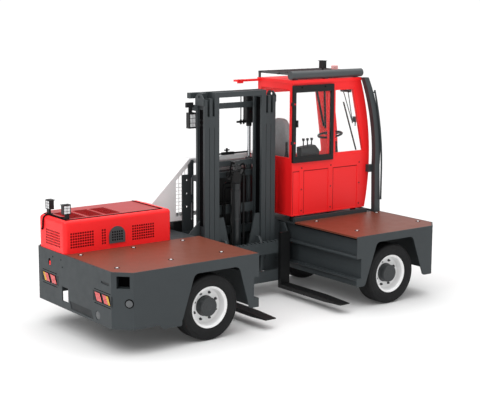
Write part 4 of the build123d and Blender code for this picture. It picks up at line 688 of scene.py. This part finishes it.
# Hood: seal round the lid and lamp wiring
LID_X = (-2.352, -1.053)
LID_Y = 0.253
SEAL = 0.017
SEAL_Z = (HOOD_TOP - SUNK, HOOD_TOP + 0.007)
FRONT_SEAL_END_Y = 0.935
REAR_SEAL_END_Y = 0.80
boxed("lid_seal", (
    block(LID_X, (LID_Y, LID_Y + SEAL), SEAL_Z),
    block((LID_X[1] - SEAL, LID_X[1]), (LID_Y, FRONT_SEAL_END_Y), SEAL_Z),
    block((LID_X[0], LID_X[0] + SEAL), (LID_Y, REAR_SEAL_END_Y), SEAL_Z),
), SOFT_RUBBER, "hood", edge=0.003)
CONDUIT = 0.010
LAMP_ROUTE = (
    (-2.285, 0.345, HOOD_TOP + 0.012),
    (-2.335, 0.380, HOOD_TOP + 0.010),
    (-2.342, 0.470, HOOD_TOP + 0.010),
    (-2.342, 0.560, HOOD_TOP + 0.011),
    (-2.342, 0.645, HOOD_TOP + 0.010),
)
END_ROUTE = (
    (-2.344, 0.655, HOOD_TOP + 0.010),
    (-2.370, 0.680, HOOD_TOP + 0.009),
    (-2.402, 0.690, HOOD_TOP - 0.010),
    (-2.414, 0.696, HOOD_TOP - 0.050),
    (-2.414, 0.700, 1.220),
    (-2.414, 0.704, 1.160),
    (-2.412, 0.730, 1.148),
)
pipe("lamp_conduit", LAMP_ROUTE, CONDUIT, "hood")
pipe("end_conduit", END_ROUTE, CONDUIT, "chassis")

# Hood: raised louvres on the lid with painted shade in their mouths, and dark sheets behind the grilles as
# painted shade of the hood's inside
LOUVRE_GROUPS_X = ((-2.250, -2.050), (-2.005, -1.815), (-1.780, -1.585))
LOUVRES = 9
LOUVRE_PITCH = 0.046
LOUVRE_FIRST_Y = 0.359
LOUVRE_RISE = 0.0055
LOUVRE_RUN = 0.026
LOUVRE_FOOT = HOOD_TOP - SUNK
MOUTH_INSET = 0.006
MOUTH_PROUD = 0.001
MOUTH_SUNK = 0.0005
MOUTH_Z = (HOOD_TOP - 0.001, HOOD_TOP + 0.0047)
blades = Shape()
mouths = Shape()
for low_x, high_x in LOUVRE_GROUPS_X:
    for row in range(LOUVRES):
        front_y = LOUVRE_FIRST_Y + row * LOUVRE_PITCH
        wedge = (
            (low_x, front_y, LOUVRE_FOOT),
            (low_x, front_y, HOOD_TOP + LOUVRE_RISE),
            (low_x, front_y + LOUVRE_RUN, LOUVRE_FOOT),
        )
        blades.prism(wedge, (high_x - low_x, 0, 0))
        mouth_x = (low_x + MOUTH_INSET, high_x - MOUTH_INSET)
        mouths.box(*block(mouth_x, (front_y - MOUTH_PROUD, front_y + MOUTH_SUNK), MOUTH_Z))
# The louvre blades share the lid's red with its painted shade
blades.done("louvre_blades", SHADED_LID_RED, "hood")
# The dark red boxes in the louvre mouths are painted shade
mouths.done("louvre_mouth_shade", SHADE_RED, "hood")
# Dark sheets behind the grille panels: painted shade of the hood's inside
GRILLE_Z = (0.980, 1.184)
GRILLE_BACK_Y = (0.2035, 0.2065)
boxed("grille_back_shade", (
    block((-2.342, -2.014), GRILLE_BACK_Y, GRILLE_Z),
    block((-1.932, -1.856), GRILLE_BACK_Y, GRILLE_Z),
    block((-1.525, -1.197), GRILLE_BACK_Y, GRILLE_Z),
    block((-2.4035, -2.4005), (0.305, 0.661), GRILLE_Z),
    block((-1.808, -1.632), (0.1915, 0.1945), (1.012, 1.142)),
), DARK, "chassis")

# Work lamps: lens, frame round it and bars across it, as shares of the lamp's width and height
LENS_SHARE = 0.42
LENS_THICK = 0.003
FRAME_PLACE = 0.46
FRAME_WIDE = 0.08
FRAME_DEEP = 0.012
BAR_PLACE = 0.16
BAR_WIDE = 0.03
BAR_LONG = 0.9
BAR_DEEP = 0.008


def lamp_face(name, middle, look, wide, tall, body):
    middle = Vector(middle)
    look = Vector(look)
    across = look.cross(UP)
    turn = Matrix((across, -look, UP)).transposed()
    lens_half = Vector((wide, LENS_THICK, tall)) * LENS_SHARE
    lens = Shape()
    lens.box(middle - lens_half, middle + lens_half, turn)
    stile = (FRAME_WIDE * wide, FRAME_DEEP, tall)
    rail = (wide, FRAME_DEEP, FRAME_WIDE * tall)
    post = (wide * BAR_WIDE, BAR_DEEP, tall * BAR_LONG)
    rung = (wide * BAR_LONG, BAR_DEEP, tall * BAR_WIDE)
    bezel = Shape()
    for sideways, upward, size in (
        (FRAME_PLACE, 0, stile),
        (-FRAME_PLACE, 0, stile),
        (0, FRAME_PLACE, rail),
        (0, -FRAME_PLACE, rail),
        (0, 0, post),
        (0, BAR_PLACE, rung),
        (0, -BAR_PLACE, rung),
    ):
        place = middle + across * (sideways * wide) + UP * (upward * tall)
        half = Vector(size) / 2
        bezel.box(place - half, place + half, turn)
    lens.done(name + "_lens", WHITE_LENS, body)
    bezel.done(name + "_bezel", PLASTIC, body, edge=0.0015)


LAMP_WIDE = 0.094
LID_LAMP_Z = HOOD_TOP + 0.110
WORK_LAMPS = (
    # name, middle of the face, the way it looks, height, body
    ("lid_lamp_far", (-2.3245, 0.742, LID_LAMP_Z), (-1, 0, 0), 0.108, "hood"),
    ("lid_lamp_near", (-2.305, 0.3125, LID_LAMP_Z), (0, -1, 0), 0.108, "hood"),
    ("mast_lamp", (-0.402, 0.5655, 2.302), (0, -1, 0), 0.186, "reach"),
)
for name, middle, look, tall, body in WORK_LAMPS:
    lamp_face(name, middle, look, LAMP_WIDE, tall, body)

# Mast: covers over the rod heads, and the anchor plate with its studs
ROD_Y = 0.70
RODS_X = about(WELL_X, 0.378)
COVER_HALF_WIDE = 0.059
COVER_Y = (0.659, 0.731)
COVER_Z = (ROD_HEAD_Z - 0.001, 2.560)
COLLAR = 0.036
COLLAR_LOW = ROD_HEAD_Z - 0.045
shape = Shape()
for rod_x in RODS_X:
    shape.box(*block(about(rod_x, COVER_HALF_WIDE), COVER_Y, COVER_Z))
    shape.rod((rod_x, ROD_Y, COLLAR_LOW), (rod_x, ROD_Y, ROD_HEAD_Z), COLLAR, 24)
shape.done("rod_head_covers", PLASTIC, "middle_stage", edge=0.003)
ANCHOR_PLATE = block((0.378, 0.515), (0.688, 0.712), (2.214, 2.240))
ANCHOR_STUDS_X = (0.440, 0.486)
ANCHOR_STUD = 0.007
ANCHOR_STUD_Z = (2.190, 2.570)
ANCHOR_NUT = 0.014
ANCHOR_NUTS_Z = ((2.240, 2.256), (2.198, 2.214))
shape = Shape()
shape.box(*ANCHOR_PLATE)
for stud_x in ANCHOR_STUDS_X:
    shape.rod((stud_x, ROD_Y, ANCHOR_STUD_Z[0]), (stud_x, ROD_Y, ANCHOR_STUD_Z[1]), ANCHOR_STUD, 10)
    for low_z, high_z in ANCHOR_NUTS_Z:
        shape.rod((stud_x, ROD_Y, low_z), (stud_x, ROD_Y, high_z), ANCHOR_NUT, HEX)
shape.done("chain_studs", BLACK, "middle_stage", edge=0.001)

# Mast: leaf chains, riding on the carriage
CHAIN_Z = extent("lift_chains", "z")
CHAIN_Y = middle_of("lift_chains", "y")
CHAINS_X = about(WELL_X, 0.086)
LINK_PITCH = 0.027
LINK_PLATES = (-0.010, -0.005, 0.0, 0.005, 0.010)
LINK_HALF_THICK = 0.002
LINK_HALF_DEEP = 0.006
LINK_FILL = 0.94
PIN = 0.004
PIN_HALF = 0.012
links = int((CHAIN_Z[1] - CHAIN_Z[0]) / LINK_PITCH)
pitch = (CHAIN_Z[1] - CHAIN_Z[0]) / links
shape = Shape()
for chain_x in CHAINS_X:
    for link_number in range(links):
        low_z = CHAIN_Z[0] + link_number * pitch
        for order, aside in enumerate(LINK_PLATES):
            foot_z = low_z + (pitch / 2 if order % 2 else 0.0)
            top_z = min(CHAIN_Z[1], foot_z + pitch * LINK_FILL)
            plate_x = about(chain_x + aside, LINK_HALF_THICK)
            shape.box(*block(plate_x, about(CHAIN_Y, LINK_HALF_DEEP), (foot_z, top_z)))
        pin_z = low_z + pitch / 2
        shape.rod((chain_x - PIN_HALF, CHAIN_Y, pin_z), (chain_x + PIN_HALF, CHAIN_Y, pin_z), PIN, HEX)
chain = shape.done("chain_links", BLACK, "carriage", smooth=20)
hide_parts("lift_chains")
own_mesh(chain)

# Mast: hydraulic lines, sleeve and head fittings of the free-lift cylinder
LINE = 0.011
LINE_Y = 0.505
LINES = (
    # x, z of the bend
    (WELL_X - 0.146, 1.40),
    (WELL_X - 0.176, 1.46),
)
for number, (line_x, bend_z) in enumerate(LINES):
    pipe(f"lift_line_{number}", (
        (line_x, LINE_Y, 0.42),
        (line_x, LINE_Y, 0.80),
        (line_x, LINE_Y, bend_z - 0.15),
        (line_x, LINE_Y, bend_z),
        (WELL_X - 0.11, 0.530, bend_z + 0.03),
        (WELL_X - 0.05, 0.525, bend_z + 0.02),
    ), LINE, "inner_stage")
CYLINDER_Y = 0.470
SLEEVE_FOOT = (WELL_X, CYLINDER_Y, 0.405)
SLEEVE_PROFILE = (
    # height above the foot, radius: barrel with a raised band, chamfered top
    (0.0, 0.0555), (0.0, 0.066), (0.595, 0.066), (0.598, 0.0685), (0.622, 0.0685), (0.625, 0.066),
    (0.980, 0.066), (0.990, 0.063), (0.990, 0.0555),
)
# The sleeve takes the cylinder's darker grey, painted shade
turned("cylinder_sleeve", closed(SLEEVE_PROFILE), SLEEVE_FOOT, UP, 40,
       CYLINDER, "inner_stage", smooth=32)
FITTINGS = (
    # x, z, radius
    (0.130, 1.745, 0.026),
    (0.165, 1.690, 0.022),
    (0.215, 1.700, 0.024),
    (0.250, 1.640, 0.020),
)
FITTING_Y = (0.415, 0.455)
FITTING_SLANT = 0.012
FITTING_BODY_Y = (0.425, 0.465)
FITTING_BODY_DOWN = 0.040
FITTING_BODY_UP = 0.010
FITTING_BRIDGE = block((0.105, 0.240), (0.435, 0.475), (1.755, 1.768))
HEAD_PLUG = 0.020
HEAD_PLUG_ENDS = ((0.060, CYLINDER_Y, 1.585), (0.078, CYLINDER_Y, 1.585))
shape = Shape()
for fitting_x, fitting_z, radius in FITTINGS:
    near = (fitting_x, FITTING_Y[0], fitting_z)
    far = (fitting_x + FITTING_SLANT, FITTING_Y[1], fitting_z)
    shape.rod(near, far, radius, 14)
    body_z = (fitting_z - FITTING_BODY_DOWN, fitting_z + FITTING_BODY_UP)
    shape.box(*block(about(fitting_x, radius), FITTING_BODY_Y, body_z))
shape.box(*FITTING_BRIDGE)
shape.rod(*HEAD_PLUG_ENDS, HEAD_PLUG, HEX)
shape.done("head_fittings", GLOSS, "crosshead", edge=0.003)
HEAD_PIPE = 0.010
HEAD_ROUTES = (
    (
        (0.130, 0.420, 1.740),
        (0.085, 0.400, 1.770),
        (0.050, 0.395, 1.700),
        (0.060, 0.405, 1.620),
        (0.110, 0.425, 1.600),
    ),
    (
        (0.215, 0.420, 1.700),
        (0.250, 0.400, 1.750),
        (0.290, 0.410, 1.700),
        (0.285, 0.420, 1.620),
        (0.262, 0.430, 1.600),
    ),
)
for number, route in enumerate(HEAD_ROUTES):
    pipe(f"head_pipe_{number}", route, HEAD_PIPE, "crosshead")

# Mast: dark strips in the rail grooves as painted shade, guard plate beside the reach roller, bolts of the
# slide pads
OUTER_GROOVE_SHADE = block((-0.3336, -0.3330), (0.412, 0.512), (0.980, 2.440))
INNER_GROOVE_SHADE = block((0.5488, 0.5491), (0.405, 0.519), (0.330, 2.560))
ROLLER_GUARD = block((0.7515, 0.855), (0.395, 0.403), (0.270, 0.430))
boxed("outer_rail_groove_shade", [OUTER_GROOVE_SHADE], DARK, "reach")
boxed("inner_rail_groove_shade", [INNER_GROOVE_SHADE], DARK, "inner_stage")
boxed("roller_guard", [ROLLER_GUARD], MAST, "reach", edge=0.002)
PAD_X = WELL_X - 0.525
PAD_BOLTS_Y = (0.435, 0.490)
PAD_BOLTS_Z = (2.25, 2.31)
PAD_BOLT = 0.010
PAD_BOLT_HIGH = 0.008
pad_places = [(PAD_X, pad_y, pad_z) for pad_z in PAD_BOLTS_Z for pad_y in PAD_BOLTS_Y]
bolts("pad_bolts", pad_places, (-1, 0, 0), PAD_BOLT, PAD_BOLT_HIGH, "reach", BLACK)

# Shut-off valve on top of the rear guard: body, stem, handle and a pipe at either end
VALVE_Y = 0.815
VALVE_X = (0.225, 0.410)
VALVE_HALF_DEEP = 0.022
VALVE_HIGH = 0.034
STEM_X = 0.302
VALVE_RODS = (
    # from x and to x, from and to above the guard, radius, sides
    ((STEM_X, STEM_X), (0.030, 0.085), 0.014, 12),
    ((0.262, 0.342), (0.060, 0.060), 0.009, 10),
    ((VALVE_X[1], 0.640), (0.016, 0.016), 0.012, 12),
    ((VALVE_X[0], 0.120), (0.016, 0.016), 0.010, 12),
)
shape = Shape()
shape.box(*block(VALVE_X, about(VALVE_Y, VALVE_HALF_DEEP), (GUARD_TOP, GUARD_TOP + VALVE_HIGH)))
for (start_x, end_x), (start_up, end_up), radius, sides in VALVE_RODS:
    start = (start_x, VALVE_Y, GUARD_TOP + start_up)
    end = (end_x, VALVE_Y, GUARD_TOP + end_up)
    shape.rod(start, end, radius, sides)
shape.done("guard_valve", BLACK, "chassis", edge=0.002)

# Seat: rounded cushion and leaning back, on a base with a back shell and an armrest
BACK_INSET = 0.020
CUSHION = block((1.070, 1.553), SEAT_Y, (1.330, 1.475))
BACK = block((1.025, 1.155), (SEAT_Y[0] + BACK_INSET, SEAT_Y[1] - BACK_INSET), (1.440, 2.240))
BASE = block((1.123, 1.493), (0.451, 0.851), (1.029, 1.345))
BACK_SHELL = block((1.040, 1.075), (0.470, 0.832), (1.400, 1.950))
BACK_SHELL_TURN = Matrix.Rotation(math.radians(-4), 3, "Y")
ARMREST = block((1.100, 1.430), (0.872, 0.920), (1.700, 1.785))
ARM_PIVOT = block((1.060, 1.125), (0.845, 0.900), (1.700, 1.765))
shape = Shape()
shape.cushion(*CUSHION)
shape.cushion(*BACK, lean=-0.09, taper=0.3, power=4.0)
pads = shape.done("seat_pads", FABRIC, "chassis", smooth=60)
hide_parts("seat")
shape = Shape()
shape.box(*BASE)
shape.box(*BACK_SHELL, BACK_SHELL_TURN)
shape.box(*ARMREST)
shape.box(*ARM_PIVOT)
shape.done("seat_base", PLASTIC, "chassis", edge=0.012)

# Cab: panel screws, dark red strips along the top and left edges of the sunk panels as painted shadow
# lines, seals on the far front pillar
PANEL_SCREWS_X = (1.098, 1.597, 2.102)
PANEL_SCREWS_Z = (1.62, 1.34, 1.06)
SCREW = 0.008
PANEL_SCREW_HIGH = 0.004
panel_screws = [(x, CAB_FACE_Y, z) for x in PANEL_SCREWS_X for z in PANEL_SCREWS_Z]
bolts("panel_screws", panel_screws, (0, -1, 0), SCREW, PANEL_SCREW_HIGH, "chassis", BLACK, washer=1.2)
PANEL_SPANS = ((0.949, 1.061), (1.131, 1.555), (1.635, 2.066))
PANEL_Z = (1.017, 1.585)
PANEL_GAP = 0.010
GAP_Y = (CAB_FACE_Y + 0.0045, CAB_FACE_Y + 0.0065)
# Painted shadow lines along the top and left edges of each sunk panel
shape = Shape()
for low_x, high_x in PANEL_SPANS:
    shape.box(*block((low_x, low_x + PANEL_GAP), GAP_Y, PANEL_Z))
    shape.box(*block((low_x, high_x), GAP_Y, (PANEL_Z[1] - PANEL_GAP, PANEL_Z[1])))
shape.done("panel_gap_shadows", SHADE_RED, "chassis")
PILLAR_SEAL = 0.016
PILLAR_SEALS = (
    # top, foot
    ((1.916, 0.945, 2.551), (2.056, 0.945, 2.046)),
    ((2.058, 0.945, 2.545), (2.084, 0.945, 2.017)),
)
shape = Shape()
for top, foot in PILLAR_SEALS:
    shape.rod(top, foot, PILLAR_SEAL, 10)
shape.done("pillar_seals", BLACK, "chassis")

# Cab: screws, hinges and hinge pins of the side window
WINDOW_Y = CAB_FACE_Y - 0.030
FRAME_SCREWS_X = (1.064, 1.454)
FRAME_SCREWS_Z = 2.668
FRAME_SCREW_HIGH = 0.003
frame_screws = [(x, WINDOW_Y, FRAME_SCREWS_Z) for x in FRAME_SCREWS_X]
bolts("frame_screws", frame_screws, (0, -1, 0), SCREW, FRAME_SCREW_HIGH, "window", DARK)
HINGES_Z = (1.960, 2.459)
HINGE_X = (0.902, 0.936)
HINGE_Y = (0.222, 0.250)
HINGE_HALF_HIGH = 0.022
hinges = [block(HINGE_X, HINGE_Y, about(hinge_z, HINGE_HALF_HIGH)) for hinge_z in HINGES_Z]
boxed("window_hinges", hinges, PLASTIC, "window", edge=0.003)
HINGE_PIN = 0.011
HINGE_PIN_X = 0.948
HINGE_PIN_Y = (WINDOW_Y - 0.004, WINDOW_Y + 0.002)
shape = Shape()
for hinge_z in HINGES_Z:
    shape.rod((HINGE_PIN_X, HINGE_PIN_Y[0], hinge_z), (HINGE_PIN_X, HINGE_PIN_Y[1], hinge_z), HINGE_PIN, 16)
shape.done("hinge_pins", RED, "window")

# Cab: wiper with two arms, and the small box with its cable end
BLADE = 0.011
BLADE_ENDS = ((2.215, 0.725, 2.390), (2.276, 0.520, 1.745))
ARM = 0.006
ARMS_Y = (0.68, 0.58)
ARM_TOP = (2.165, 2.555)
ARM_END = (2.268, 0.590, 2.105)
WIPER_HOUSING = block((2.150, 2.190), (0.540, 0.720), (2.535, 2.600))
shape = Shape()
shape.rod(*BLADE_ENDS, BLADE, 8)
for arm_y in ARMS_Y:
    shape.rod((ARM_TOP[0], arm_y, ARM_TOP[1]), ARM_END, ARM, 8)
shape.box(*WIPER_HOUSING)
shape.done("wiper", BLACK, "chassis")
MOTOR_BOX = block((2.150, 2.205), (0.405, 0.465), (2.140, 2.215))
MOTOR_CABLE = 0.008
MOTOR_CABLE_ENDS = ((2.180, 0.440, 2.140), (2.180, 0.440, 2.085))
shape = Shape()
shape.box(*MOTOR_BOX)
shape.rod(*MOTOR_CABLE_ENDS, MOTOR_CABLE, 8)
shape.done("wiper_motor", PLASTIC, "chassis", edge=0.004)

# Camera
VIEW_RIGHT = (0.80239, -0.59678, 0.00393)
VIEW_UP = (0.09955, 0.14034, 0.98508)
VIEW_BACK = (-0.58844, -0.79003, 0.17202)
VIEW_PLACE = (-8.613, -11.443, 3.849)
camera = bpy.data.objects.new("camera", bpy.data.cameras.new("camera"))
bpy.context.collection.objects.link(camera)
camera.data.sensor_width = 36
camera.data.lens = 88.66
camera.data.clip_end = 200
camera.matrix_world = Matrix((*zip(VIEW_RIGHT, VIEW_UP, VIEW_BACK, VIEW_PLACE), (0, 0, 0, 1)))
bpy.context.scene.camera = camera

# Floor
floor_white = finish("floor_white", (0.75, 0.75, 0.75), 0.9, vary=0.003, bump=0.0, shine=0.0)
shader_of(floor_white).inputs["Emission Color"].default_value = (1, 1, 1, 1)
shader_of(floor_white).inputs["Emission Strength"].default_value = 0.03
bpy.ops.mesh.primitive_plane_add(size=160)
floor = bpy.context.object
floor.name = "floor"
floor.data.materials.append(floor_white)
floor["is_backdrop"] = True

# Studio sky and lights
HORIZON = (0.526, 0.526, 0.526)
WALLS = (0.29, 0.29, 0.29)
CEILING = (1, 1, 1)
SKY_STOPS = (
    # sine of the height above the horizon, brightness
    (0.0, HORIZON),
    (0.06, HORIZON),
    (0.12, WALLS),
    (0.5, WALLS),
    (0.78, CEILING),
)
SKY_STRENGTH = 1.98
world = bpy.data.worlds.new("studio")
bpy.context.scene.world = world
world.use_nodes = True
sky = world.node_tree
sky_coords = sky.nodes.new("ShaderNodeTexCoord")
sky_split = sky.nodes.new("ShaderNodeSeparateXYZ")
link(sky, sky_coords.outputs["Generated"], sky_split.inputs["Vector"])
link(sky, ramp(sky, sky_split.outputs["Z"], SKY_STOPS), sky.nodes["Background"].inputs["Color"])
sky.nodes["Background"].inputs["Strength"].default_value = SKY_STRENGTH
LIGHTS = (
    # name, place, aim, size, watts
    ("key", (-8.0, -2.8, 7.5), (0.0, 0.0, 0.8), 5.0, 240),
    ("top", (1.0, 1.0, 9.5), (0.0, 0.0, 0.0), 7.0, 60),
)
for name, place, aim, size, watts in LIGHTS:
    light = bpy.data.lights.new(name, "AREA")
    light.size = size
    light.energy = watts
    lamp = bpy.data.objects.new(name, light)
    lamp.location = place
    lamp.rotation_euler = (Vector(aim) - Vector(place)).to_track_quat("-Z", "Y").to_euler()
    bpy.context.collection.objects.link(lamp)
bpy.context.scene.view_settings.view_transform = "Standard"

low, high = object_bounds()
